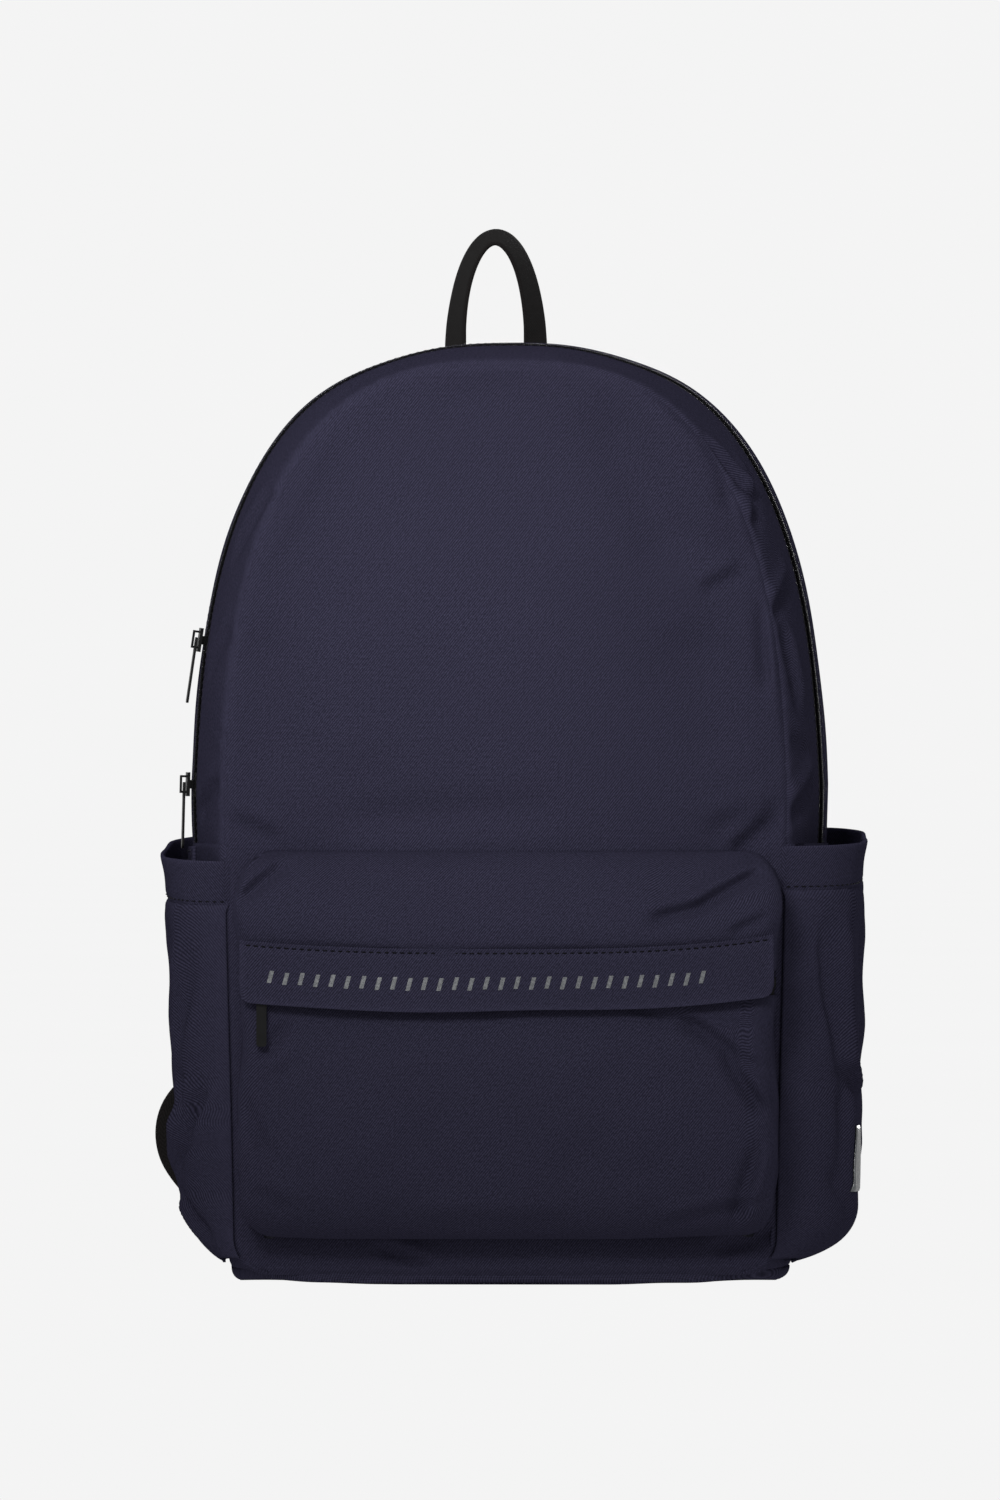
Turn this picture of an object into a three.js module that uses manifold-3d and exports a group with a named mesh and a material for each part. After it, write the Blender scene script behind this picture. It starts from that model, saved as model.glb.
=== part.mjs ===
// A school backpack: an arched main compartment that opens along a zip, a front pocket
// under a storm flap, two side pockets, a padded back and two shoulder straps.
// Millimetres, +Z up, the front faces -Y, and the base stands on z = 0.
import * as THREE from 'three';
import { mergeVertices } from 'three/addons/utils/BufferGeometryUtils.js';
import Module from 'manifold-3d';

const wasm = await Module();
wasm.setup();

// ---------- driving dimensions ----------
const FRONT_Y = -65; // seam between the front panel and the sides
const BACK_Y = 66; // outer face of the back panel
const ZIP_Y = -14; // middle of the main zip
const SPRING_Z = 228; // height where the straight sides turn into the arch
const ARCH_POWER = 2.8; // exponent of the superelliptic arch
const ARCH_TAPER = 0.05; // how fast the arch narrows besides its curve
const CROWN = 8; // how far the front panel bulges
const FABRIC = 1.6; // thickness of a fabric wall with its lining
const GAP = 0.3; // clearance between neighbouring pieces
const BASE_HEIGHT = 5.5; // thickness of the stiffened base
const WALL_BOTTOM = BASE_HEIGHT + 0.4;
const FOLD_Z = 200; // the lid folds forward about this height
const WALL_FRONT = FRONT_Y + FABRIC + GAP; // the side walls' front edge
const WALL_BACK = BACK_Y - 3.1; // the side walls' back edge
const BASE_CORNER = 14; // corner radius of the base seen from above
const BOARD = { inset: 14, thickness: 2.2 }; // stiffener over the base
const ARCH_STEPS = 28;

const POCKET = {
  bottom: 18.5,
  top: 198,
  front: -101.3,
  halfWidth: 123,
  cornerShare: 0.25, // corner radius as a share of the pocket's depth
  cornerRadius: 18, // rounding of the four corners in front view
  zipZ: 138,
};
const FLAP = { top: 156.5, bottom: 129, halfWidth: 121, inner: -106.5, thickness: 1.3 };
const TAPE = { width: 6.5, slot: 2, thickness: 1.2 };
const POCKET_TAPE = { width: 4.6, slot: 2 };
const SIDE_POCKET = { bottom: 9, hem: 20, hemThickness: 2, frontY: -61, backY: 61, seamStand: 2.8 };
const LINING_HOLLOW = 4; // how far a hollow is cut past a pocket's open back
const WEBBING = { width: 25, thickness: 1.6 };
const SLIDER = { length: 11, width: 8.6, plate: 1.4, clearance: 0.6, post: 1.2 };
const PULL = { length: 29, width: 4.6, thickness: 1, window: 2.4 };

// ---------- small helpers ----------
const V = (x, y, z) => new THREE.Vector3(x, y, z);
const mix = (a, b, t) => a + (b - a) * t;
const steps = count => Array.from({ length: count + 1 }, (_, i) => i / count);
const clamp01 = t => Math.min(1, Math.max(0, t));

const group = new THREE.Group();

function material(color, roughness, metalness = 0) {
  return new THREE.MeshStandardMaterial({ color, roughness, metalness });
}

const FINISH = {
  fabric: () => material(0x302f3f, 0.75),
  lining: () => material(0x24242c, 0.7),
  webbing: () => material(0x1f1d1d, 0.7),
  tape: () => material(0x141416, 0.8),
  metal: () => material(0x1c1c20, 0.3, 0.9),
  plastic: () => material(0x18181a, 0.4),
  foam: () => material(0x5a5a60, 0.9),
  board: () => material(0x3a3a3c, 0.6),
  reflective: () => material(0x8c8e92, 0.35, 0.3),
};

function add(name, geometry, finish) {
  const mesh = new THREE.Mesh(geometry, FINISH[finish]());
  mesh.name = name;
  group.add(mesh);
}

function signedVolume(points, faces) {
  let sum = 0;
  for (let i = 0; i < faces.length; i += 3) {
    const [a, b, c] = [0, 1, 2].map(k => points[faces[i + k]]);
    sum += a.dot(b.clone().cross(c));
  }
  return sum / 6;
}

// A geometry from points and triangles, turned so that its faces point out.
function closedBody(points, faces) {
  const inOrder = signedVolume(points, faces) > 0 ? faces : faces.slice().reverse();
  const geometry = new THREE.BufferGeometry();
  const numbers = points.flatMap(p => [p.x, p.y, p.z]);
  geometry.setAttribute('position', new THREE.Float32BufferAttribute(numbers, 3));
  geometry.setIndex(inOrder);
  return geometry;
}

// The triangles that close a flat ring of points, in any plane.
function capFaces(ring) {
  const normal = V(0, 0, 0);
  ring.forEach((p, i) => normal.add(p.clone().cross(ring[(i + 1) % ring.length])));
  normal.normalize();
  const across = (Math.abs(normal.z) > 0.6 ? V(1, 0, 0) : V(0, 0, 1)).cross(normal).normalize();
  const along = normal.clone().cross(across);
  const flat = ring.map(p => new THREE.Vector2(p.dot(across), p.dot(along)));
  return THREE.ShapeUtils.triangulateShape(flat, []);
}

// Turns a cap's triangles so that they run the same way round as the ring's own points.
function orientCap(triangles, ring) {
  const normal = V(0, 0, 0);
  ring.forEach((p, i) => normal.add(p.clone().cross(ring[(i + 1) % ring.length])));
  return triangles.map(([a, b, c]) => {
    const side = ring[b].clone().sub(ring[a]).cross(ring[c].clone().sub(ring[a]));
    return side.dot(normal) >= 0 ? [a, b, c] : [a, c, b];
  });
}

// A closed body lofted through flat rings that have equal numbers of points.
function loft(rings) {
  const n = rings[0].length;
  const faces = [];
  for (let r = 0; r + 1 < rings.length; r += 1) {
    for (let i = 0; i < n; i += 1) {
      const a = r * n + i;
      const b = r * n + ((i + 1) % n);
      faces.push(a, b, b + n, a, b + n, a + n);
    }
  }
  const last = (rings.length - 1) * n;
  orientCap(capFaces(rings[0]), rings[0]).forEach(([a, b, c]) => faces.push(a, c, b));
  orientCap(capFaces(rings.at(-1)), rings.at(-1))
    .forEach(([a, b, c]) => faces.push(last + a, last + b, last + c));
  return closedBody(rings.flat(), faces);
}

// A sheet of even thickness behind a grid of points; `inside` is a point on its inner side.
function sheet(rows, thickness, inside) {
  const height = rows.length;
  const width = rows[0].length;
  const at = (r, c) => rows[Math.min(height - 1, Math.max(0, r))][Math.min(width - 1, Math.max(0, c))];
  const normals = rows.map((row, r) => row.map((_, c) => {
    const across = at(r, c + 1).clone().sub(at(r, c - 1));
    const up = at(r + 1, c).clone().sub(at(r - 1, c));
    return across.cross(up).normalize();
  }));
  let facing = 0;
  rows.forEach((row, r) => row.forEach((p, c) => {
    facing += normals[r][c].dot(p.clone().sub(inside));
  }));
  const inward = facing > 0 ? -thickness : thickness;
  const outer = rows.flat();
  const inner = outer.map((p, i) => p.clone().addScaledVector(normals.flat()[i], inward));
  const faces = [];
  const count = width * height;
  for (let r = 0; r + 1 < height; r += 1) {
    for (let c = 0; c + 1 < width; c += 1) {
      const a = r * width + c;
      const b = a + 1;
      const d = a + width;
      faces.push(a, b, d + 1, a, d + 1, d);
      faces.push(count + a, count + d + 1, count + b, count + a, count + d, count + d + 1);
    }
  }
  const rim = [];
  for (let c = 0; c < width - 1; c += 1) rim.push(c);
  for (let r = 0; r < height - 1; r += 1) rim.push(r * width + width - 1);
  for (let c = width - 1; c > 0; c -= 1) rim.push((height - 1) * width + c);
  for (let r = height - 1; r > 0; r -= 1) rim.push(r * width);
  rim.forEach((a, i) => {
    const b = rim[(i + 1) % rim.length];
    faces.push(a, count + b, b, a, count + a, count + b);
  });
  return closedBody([...outer, ...inner], faces);
}

// A flat plate in the XZ plane, between two depths.
function plate(shape, nearY, farY, curveSegments = 12) {
  const geometry = new THREE.ExtrudeGeometry(shape, { depth: farY - nearY, bevelEnabled: false, curveSegments });
  geometry.rotateX(Math.PI / 2);
  geometry.translate(0, farY, 0);
  return geometry;
}

function roundedRectangle(x0, z0, x1, z1, radius) {
  const shape = new THREE.Shape();
  shape.moveTo(x0 + radius, z0);
  shape.lineTo(x1 - radius, z0);
  shape.absarc(x1 - radius, z0 + radius, radius, -Math.PI / 2, 0, false);
  shape.lineTo(x1, z1 - radius);
  shape.absarc(x1 - radius, z1 - radius, radius, 0, Math.PI / 2, false);
  shape.lineTo(x0 + radius, z1);
  shape.absarc(x0 + radius, z1 - radius, radius, Math.PI / 2, Math.PI, false);
  shape.lineTo(x0, z0 + radius);
  shape.absarc(x0 + radius, z0 + radius, radius, Math.PI, 1.5 * Math.PI, false);
  return shape;
}

function toManifold(geometry) {
  const bare = new THREE.BufferGeometry();
  bare.setAttribute('position', geometry.getAttribute('position'));
  bare.setIndex(geometry.index);
  const merged = mergeVertices(bare, 1e-4);
  return new wasm.Manifold(new wasm.Mesh({
    numProp: 3,
    vertProperties: new Float32Array(merged.getAttribute('position').array),
    triVerts: new Uint32Array(merged.index.array),
  }));
}

function fromManifold(solid) {
  const mesh = solid.getMesh();
  const geometry = new THREE.BufferGeometry();
  geometry.setAttribute('position', new THREE.BufferAttribute(new Float32Array(mesh.vertProperties), 3));
  geometry.setIndex(Array.from(mesh.triVerts));
  return geometry;
}

const subtract = (a, b) => fromManifold(toManifold(a).subtract(toManifold(b)));
const join = (...pieces) => fromManifold(pieces.map(toManifold).reduce((a, b) => a.add(b)));

// ---------- the outline of the main compartment ----------
const depthShare = y => (y - FRONT_Y) / (BACK_Y - 1 - FRONT_Y);
// a width or height that runs from the front seam to the back seam with a bow between them
const bowed = (front, back, bow) => y => {
  const share = depthShare(y);
  return mix(front, back, share) + 4 * bow * share * (1 - share);
};
const springWidth = bowed(131.5, 139, 11.7);
const baseWidth = bowed(127, 131, 0);
const archTop = bowed(421, 424, 8.3);

function archPoint(angle, y, inset = 0) {
  const rise = (archTop(y) - SPRING_Z) * Math.abs(Math.sin(angle)) ** (2 / ARCH_POWER);
  const reach = springWidth(y) - ARCH_TAPER * rise;
  const x = reach * Math.abs(Math.cos(angle)) ** (2 / ARCH_POWER) * Math.sign(Math.cos(angle));
  const scale = 1 - inset / springWidth(y);
  return V(x * scale, y, SPRING_Z + rise * scale);
}

function halfWidth(z, y) {
  const share = Math.min(1, z / SPRING_Z);
  if (z <= SPRING_Z) return mix(baseWidth(y), springWidth(y), share ** 2 * (3 - 2 * share));
  const climb = clamp01((z - SPRING_Z) / (archTop(y) - SPRING_Z));
  const reach = springWidth(y) - ARCH_TAPER * (z - SPRING_Z);
  return reach * (1 - climb ** ARCH_POWER) ** (1 / ARCH_POWER);
}

// the outline at one depth, from the left side over the top to the right side
function archOutline(y, fromZ, inset = 0) {
  const sideHeights = [fromZ, mix(fromZ, SPRING_Z, 0.5)];
  const side = sign => sideHeights.map(z => V(sign * (halfWidth(z, y) - inset), y, z));
  const arch = steps(ARCH_STEPS).map(t => archPoint(Math.PI * (1 - t), y, inset));
  return [...side(-1), ...arch, ...side(1).reverse()];
}

// how far the front panel bulges forward at a point
function crown(x, z) {
  if (z > SPRING_Z) {
    const climb = (z - SPRING_Z) / (archTop(FRONT_Y) - SPRING_Z);
    const across = Math.abs(x) / (springWidth(FRONT_Y) - ARCH_TAPER * (z - SPRING_Z));
    const radius = (climb ** ARCH_POWER + across ** ARCH_POWER) ** (1 / ARCH_POWER);
    return CROWN * (1 - Math.min(1, radius) ** 2);
  }
  const across = Math.min(1, Math.abs(x) / halfWidth(z, FRONT_Y));
  const swell = mix(0.45, 1, clamp01(z / 150) * (2 - clamp01(z / 150)));
  return CROWN * swell * (1 - across ** 2);
}

const panelPoint = (x, z) => V(x, FRONT_Y - crown(x, z), z);
const BAG_MIDDLE = V(0, 0, 200);

// ---------- main compartment ----------
function frontPanelLower() {
  const rows = steps(8).map(t => {
    const z = mix(WALL_BOTTOM, FOLD_Z - GAP, t);
    return steps(14).map(s => panelPoint(mix(-1, 1, s) * halfWidth(z, FRONT_Y), z));
  });
  return sheet(rows, FABRIC, BAG_MIDDLE);
}

function frontPanelUpper() {
  const low = FOLD_Z + GAP;
  const columns = steps(22).map(s => archPoint(Math.PI * (1 - s), FRONT_Y));
  const rows = steps(11).map(t => columns.map(top => {
    const z = mix(low, top.z, t);
    const narrowing = z < SPRING_Z ? halfWidth(z, FRONT_Y) / springWidth(FRONT_Y) : 1;
    return panelPoint(top.x * narrowing, z);
  }));
  return sheet(rows, FABRIC, BAG_MIDDLE);
}

// a band of the arched wall between two depths
function archBand(fromY, toY, columns, thickness) {
  const rows = steps(columns).map(t => archOutline(mix(fromY, toY, t), FOLD_Z + GAP));
  return sheet(rows, thickness, BAG_MIDDLE);
}

function sidePanel(side) {
  const rows = steps(8).map(t => {
    const z = mix(WALL_BOTTOM, FOLD_Z - GAP, t);
    return steps(8).map(s => {
      const y = mix(WALL_FRONT, WALL_BACK, s);
      return V(side * halfWidth(z, y), y, z);
    });
  });
  return sheet(rows, FABRIC, BAG_MIDDLE);
}

// the arch carried down to the base, for the layers of the back
function backShape(y, fromZ, inset) {
  const shape = new THREE.Shape();
  const heights = [fromZ, 60, 120, 180];
  const side = sign => heights.map(z => V(sign * (halfWidth(z, y) - inset), y, z));
  const arch = steps(ARCH_STEPS).map(t => archPoint(Math.PI * (1 - t), y, inset));
  [...side(-1), ...arch, ...side(1).reverse()].forEach((p, i) => {
    if (i) shape.lineTo(p.x, p.z);
    else shape.moveTo(p.x, p.z);
  });
  shape.closePath();
  return shape;
}

// a rounded plate of the base's outline at one height
function baseRing(z, inset) {
  const ring = [];
  const corners = [[1, 1], [-1, 1], [-1, -1], [1, -1]];
  corners.forEach(([sx, sy], k) => {
    const edgeY = sy > 0 ? BACK_Y : FRONT_Y;
    const centre = V(sx * (baseWidth(edgeY - sy) - BASE_CORNER), edgeY - sy * BASE_CORNER, z);
    steps(4).forEach(t => {
      const angle = (k + t) * Math.PI / 2;
      ring.push(V(
        centre.x + (BASE_CORNER - inset) * Math.cos(angle),
        centre.y + (BASE_CORNER - inset) * Math.sin(angle),
        z,
      ));
    });
  });
  return ring;
}

const TAPE_EDGE = TAPE.slot / 2;

function baseBoard() {
  const top = WALL_BOTTOM + BOARD.thickness;
  return loft([baseRing(WALL_BOTTOM, BOARD.inset), baseRing(top, BOARD.inset)]);
}

function buildMainCompartment() {
  add('front_panel_lower', frontPanelLower(), 'fabric');
  add('front_panel_upper', frontPanelUpper(), 'fabric');
  const tapeOuter = TAPE_EDGE + TAPE.width;
  add('gusset_front', archBand(WALL_FRONT, ZIP_Y - tapeOuter - GAP, 3, FABRIC), 'fabric');
  add('gusset_rear', archBand(ZIP_Y + tapeOuter + GAP, WALL_BACK, 4, FABRIC), 'fabric');
  add('side_panel_left', sidePanel(-1), 'fabric');
  add('side_panel_right', sidePanel(1), 'fabric');
  add('base_panel', loft([baseRing(0, 5), baseRing(2, 1.2), baseRing(BASE_HEIGHT, 0)]), 'fabric');
  add('base_board', baseBoard(), 'board');
}

// ---------- padded back and laptop sleeve ----------
const LAYER_BOTTOM = 8.7;
const SLEEVE = { near: 28, far: 33.5, halfWidth: 117, top: 300 };
const FOAM = { near: 56.2, far: 63 };
const LINING = { near: 54.6, far: 55.8 };
const PATCH = { halfWidth: 11, bottom: 262, top: 290, thickness: 1 };

// one of the two faces of the sleeve's hook and loop closure, a depth in front of the sleeve
function closurePatch(farY) {
  const { halfWidth: half, bottom, top, thickness } = PATCH;
  return plate(roundedRectangle(-half, bottom, half, top, 2), farY - thickness, farY, 3);
}

function sleeveStrap() {
  const line = [[53.1, 345], [52.9, 328], [46, 313], [36, 306.5], [27.5, 304], [24.3, 297], [24.3, 258]];
  return strapBody(line.map(([y, z]) => V(0, y, z)), () => WEBBING.width, 1.4, () => V(1, 0, 0), 18);
}

function buildBack() {
  add('back_panel', plate(backShape(BACK_Y - 1, WALL_BOTTOM, 0), BACK_Y - 2.7, BACK_Y), 'fabric');
  add('back_foam', plate(backShape(60, LAYER_BOTTOM, 4), FOAM.near, FOAM.far), 'foam');
  add('back_lining', plate(backShape(55, LAYER_BOTTOM, 4), LINING.near, LINING.far), 'lining');
  const { near, far, halfWidth: half, top } = SLEEVE;
  add('sleeve_panel', plate(roundedRectangle(-half, LAYER_BOTTOM, half, top, 8), near, far, 4), 'lining');
  add('sleeve_strap', sleeveStrap(), 'webbing');
  add('loop_patch', closurePatch(near - GAP), 'webbing');
  add('hook_patch', closurePatch(near - PATCH.thickness - 2 * GAP), 'webbing');
}

// ---------- straps ----------
// A band along a smooth line: `width` is given by the share of the way along it, and `sideOf`
// gives the direction of the band's width from the share and the tangent.
function strapBody(line, width, thickness, sideOf, count, rounded = false) {
  const curve = new THREE.CatmullRomCurve3(line, false, 'centripetal');
  const rings = steps(count).map(t => {
    const centre = curve.getPointAt(t);
    const tangent = curve.getTangentAt(t);
    const wanted = sideOf(t, tangent);
    const side = wanted.addScaledVector(tangent, -wanted.dot(tangent)).normalize();
    const out = tangent.clone().cross(side).normalize();
    const half = width(t) / 2;
    const thick = thickness / 2;
    const corner = rounded ? thick * 0.6 : 0;
    const outline = rounded
      ? [[-half, -thick + corner], [-half + corner, -thick], [half - corner, -thick], [half, -thick + corner],
        [half, thick - corner], [half - corner, thick], [-half + corner, thick], [-half, thick - corner]]
      : [[-half, -thick], [half, -thick], [half, thick], [-half, thick]];
    return outline.map(([a, b]) => centre.clone().addScaledVector(side, a).addScaledVector(out, b));
  });
  return loft(rings);
}

// the width of a strap lies in the plane of the back
const acrossBack = (_, tangent) => tangent.clone().cross(V(0, 1, 0));

const STRAP_LINE = [
  [40, 75, 389], [43, 88, 360], [52, 99, 310], [67, 104, 255], [83, 103, 205], [98, 98, 165], [106, 94, 142],
];
const STRAP_END = V(...STRAP_LINE.at(-1));
const STRAP_END_TANGENT = V(0.31, -0.155, -0.94).normalize();
const STRAP = { topWidth: 62, endWidth: 44, thickness: 9 };
const LOCK = { halfWidth: 16.5, halfHeight: 13, thickness: 4.4, fromStrap: 15.5 };
const LOCK_SLOT = { offset: 5, halfWidth: 13.3, halfHeight: 1.8 };
const LOWER_LINE = [
  [116.5, 88.7, 110], [131, 84, 92], [144, 79, 74], [146, 75.5, 60], [138, 71.8, 43], [126, 69.6, 29],
];
const TAIL_LINE = [[112.6, 96.4, 111], [115, 98.6, 90], [116, 99, 62], [117, 98, 32]];

const mirrored = (line, side) => line.map(([x, y, z]) => V(side * x, y, z));

function shoulderStrap(side) {
  const width = t => mix(STRAP.topWidth, STRAP.endWidth, t ** 0.8);
  return strapBody(mirrored(STRAP_LINE, side), width, STRAP.thickness, acrossBack, 20, true);
}

// the plastic adjuster: a frame with three bars
function ladderLock(side) {
  const { halfWidth: half, halfHeight: tall, thickness, fromStrap } = LOCK;
  const shape = roundedRectangle(-half, -tall, half, tall, 4);
  [-LOCK_SLOT.offset, LOCK_SLOT.offset].forEach(middle => {
    const low = middle - LOCK_SLOT.halfHeight;
    const high = middle + LOCK_SLOT.halfHeight;
    const slot = new THREE.Path();
    const outline = roundedRectangle(-LOCK_SLOT.halfWidth, low, LOCK_SLOT.halfWidth, high, 1);
    slot.setFromPoints(outline.getPoints(2));
    shape.holes.push(slot);
  });
  const settings = { depth: thickness, bevelEnabled: false, curveSegments: 3 };
  const geometry = new THREE.ExtrudeGeometry(shape, settings);
  geometry.translate(0, 0, -thickness / 2);
  const down = STRAP_END_TANGENT.clone();
  down.x *= side;
  const across = down.clone().cross(V(0, 1, 0)).normalize();
  const out = across.clone().cross(down).normalize();
  const centre = V(side * STRAP_END.x, STRAP_END.y, STRAP_END.z).addScaledVector(down, fromStrap);
  geometry.applyMatrix4(new THREE.Matrix4().makeBasis(across, down, out).setPosition(centre));
  return geometry;
}

function anchorTab(side) {
  const shape = new THREE.Shape();
  shape.moveTo(side * 130, 13);
  shape.lineTo(side * 131.5, 47);
  shape.lineTo(side * 122, 45);
  shape.lineTo(side * 103, 16);
  shape.closePath();
  return plate(shape, BACK_Y + GAP, BACK_Y + 2);
}

const HANDLE = { middle: -8.2, halfWidth: 18.5, low: 430, rise: 51, y: 72.5, width: 20 };

// the carrying loop stands up from the back seam, turned a little so that its flat shows
function grabHandle() {
  const { middle, halfWidth: reach, low, rise, y } = HANDLE;
  const arch = steps(14).map(t => {
    const angle = Math.PI * t;
    return V(middle - reach * Math.cos(angle), y, low + rise * Math.sin(angle));
  });
  const foot = sign => V(middle + sign * (reach + 0.4), y, low - 4);
  const line = [foot(-1), ...arch, foot(1)];
  const sideOf = (t, tangent) => {
    const roll = THREE.MathUtils.degToRad(mix(32, 21, Math.sin(Math.PI * t)));
    const inPlane = tangent.clone().cross(V(0, 1, 0));
    return V(0, Math.cos(roll), 0).addScaledVector(inPlane, Math.sin(roll));
  };
  return strapBody(line, () => HANDLE.width, 1.8, sideOf, 30);
}

function yokePanel() {
  return plate(roundedRectangle(-76, 393, 76, 416, 5), BACK_Y + GAP, BACK_Y + 2.2, 4);
}

function buildCarrying() {
  add('grab_handle', grabHandle(), 'webbing');
  add('yoke_panel', yokePanel(), 'fabric');
  [['left', -1], ['right', 1]].forEach(([name, side]) => {
    add(`shoulder_strap_${name}`, shoulderStrap(side), 'fabric');
    add(`ladder_lock_${name}`, ladderLock(side), 'plastic');
    const flat = () => WEBBING.width;
    const lower = strapBody(mirrored(LOWER_LINE, side), flat, WEBBING.thickness, acrossBack, 14);
    add(`lower_webbing_${name}`, lower, 'webbing');
    const tail = strapBody(mirrored(TAIL_LINE, side), flat, WEBBING.thickness, acrossBack, 8);
    add(`webbing_tail_${name}`, tail, 'webbing');
    add(`anchor_tab_${name}`, anchorTab(side), 'fabric');
  });
}

// ---------- zips ----------
const box = (width, depth, height, x, y, z) => {
  const geometry = new THREE.BoxGeometry(width, depth, height);
  geometry.translate(x, y, z);
  return geometry;
};

// A slider in its own frame: X across the tapes, Y out of the fabric, Z along the zip.
// Its two plates lie over and under the tapes and a post between the tapes joins them.
function sliderBody(bridge) {
  const { length, width, plate: thick, clearance, post } = SLIDER;
  const outer = clearance + thick / 2;
  const inner = -TAPE.thickness - clearance - thick / 2;
  const between = clearance * 2 + TAPE.thickness + thick;
  return join(
    box(width, thick, length, 0, outer, 0),
    box(width, thick, length, 0, inner, 0),
    box(post, between, 4, 0, (outer + inner) / 2, 0),
    ...bridge,
  );
}

// the arched bridge that holds the pull of a main slider
function bridgePieces() {
  const top = SLIDER.clearance + SLIDER.plate;
  return [
    box(1.6, 3.2, 1, 0, top + 1.3, 3.6),
    box(1.6, 3.2, 1, 0, top + 1.3, -3.6),
    box(1.6, 1, 8.2, 0, top + 2.5, 0),
  ];
}

// the headed stud that holds the pull of the pocket slider
function studPieces() {
  const top = SLIDER.clearance + SLIDER.plate;
  const stud = new THREE.CylinderGeometry(0.9, 0.9, 2, 12);
  stud.translate(0, top + 0.8, 0);
  const head = new THREE.CylinderGeometry(1.7, 1.7, 0.5, 12);
  head.translate(0, top + 1.95, 0);
  return [stud, head];
}

// A flat pull hanging from the origin down its own -Z, with a window for the bridge or stud.
function pullBody(windowTop, windowBottom, windowWidth) {
  const half = PULL.width / 2;
  const shape = roundedRectangle(-half, -PULL.length, half, windowTop + 1, 1.4);
  const hole = new THREE.Path();
  const window = roundedRectangle(-windowWidth / 2, windowBottom, windowWidth / 2, windowTop, 0.5);
  hole.setFromPoints(window.getPoints(2));
  shape.holes.push(hole);
  return plate(shape, -PULL.thickness / 2, PULL.thickness / 2, 4);
}

// the frame of the main zip at a height on the left side
function mainZipFrame(z) {
  const x = -halfWidth(z, ZIP_Y);
  const along = V(-(halfWidth(z + 1, ZIP_Y) - halfWidth(z - 1, ZIP_Y)) / 2, 0, 1).normalize();
  const tilted = V(-(halfWidth(z, ZIP_Y + 1) - halfWidth(z, ZIP_Y - 1)) / 2, 1, 0);
  const out = along.clone().cross(tilted).normalize();
  const across = out.clone().cross(along);
  return new THREE.Matrix4().makeBasis(across, out, along).setPosition(V(x, ZIP_Y, z));
}

const MAIN_SLIDERS = { lower: 228, upper: 294 };
const POCKET_SLIDER_X = -109.5;
const END_TAB = { bottom: 184, halfWidth: 9, thickness: 1 };

function buildZips() {
  const front = [ZIP_Y - TAPE_EDGE - TAPE.width, ZIP_Y - TAPE_EDGE];
  const rear = [ZIP_Y + TAPE_EDGE, ZIP_Y + TAPE_EDGE + TAPE.width];
  add('main_zip_tape_front', archBand(...front, 1, TAPE.thickness), 'tape');
  add('main_zip_tape_rear', archBand(...rear, 1, TAPE.thickness), 'tape');
  Object.entries(MAIN_SLIDERS).forEach(([name, z]) => {
    const frame = mainZipFrame(z);
    const pull = pullBody(0.4, -5.2, PULL.window);
    pull.translate(0, SLIDER.clearance + SLIDER.plate + 1, -0.4);
    add(`main_slider_${name}`, sliderBody(bridgePieces()).applyMatrix4(frame), 'metal');
    add(`main_pull_${name}`, pull.applyMatrix4(frame), 'metal');
  });
  [['left', -1], ['right', 1]].forEach(([name, side]) => add(`zip_end_tab_${name}`, zipEndTab(side), 'fabric'));
}

// a small patch over each end of the main zip
function zipEndTab(side) {
  const rows = steps(2).map(t => {
    const z = mix(END_TAB.bottom, FOLD_Z - GAP, t);
    return steps(3).map(s => {
      const y = mix(ZIP_Y - END_TAB.halfWidth, ZIP_Y + END_TAB.halfWidth, s);
      return V(side * (halfWidth(z, y) + GAP + END_TAB.thickness), y, z);
    });
  });
  return sheet(rows, END_TAB.thickness, BAG_MIDDLE);
}

// ---------- front pocket ----------
const wallY = (x, z) => FRONT_Y - crown(x, z) - 0.5;

// the pocket's reach from the wall to its front, from 0 to 1, rounded at the top and the bottom
function pocketReach(z) {
  const { bottom, top } = POCKET;
  const low = clamp01((50 - z) / (50 - bottom));
  const high = clamp01((z - 156) / (top - 156));
  return (1 - 0.85 * low ** 3) ** 0.5 * (1 - 0.93 * high ** 2.4) ** 0.6;
}

function pocketHalfWidth(z) {
  const { bottom, top, halfWidth: full, cornerRadius: radius } = POCKET;
  const depth = Math.max(bottom + radius - z, z - (top - radius), 0);
  return full - (radius - Math.sqrt(radius ** 2 - Math.min(depth, radius) ** 2)) * 0.8;
}

// one level of the pocket as a closed ring: round the front, then back along the wall
function pocketRing(z, inset, backInset) {
  const half = pocketHalfWidth(z) - inset;
  const corner = POCKET.cornerShare;
  const reach = pocketReach(z);
  const radius = corner * (FRONT_Y - POCKET.front) * reach;
  const place = (x, out) => {
    const wall = wallY(x, z);
    const front = mix(wall, POCKET.front, reach) + inset;
    return V(x, mix(wall, front, out), z);
  };
  const quarter = steps(4).map(t => t * Math.PI / 2);
  const sideOuts = [0, (1 - corner) / 2];
  const left = sideOuts.map(out => place(-half, out));
  const leftArc = quarter.map(a => place(-half + radius * (1 - Math.cos(a)), 1 - corner * (1 - Math.sin(a))));
  const flat = steps(8).slice(1, -1).map(t => place(mix(-half + radius, half - radius, t), 1));
  const mirror = points => points.map(p => V(-p.x, p.y, p.z)).reverse();
  const back = steps(6).slice(1, -1).map(t => V(mix(half, -half, t), 0, z));
  back.forEach(p => {
    p.y = wallY(p.x, z) + backInset;
  });
  const around = [...left, ...leftArc, ...flat, ...mirror(leftArc), ...mirror(left)];
  around[0].y += backInset;
  around.at(-1).y += backInset;
  return [...around, ...back];
}

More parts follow.
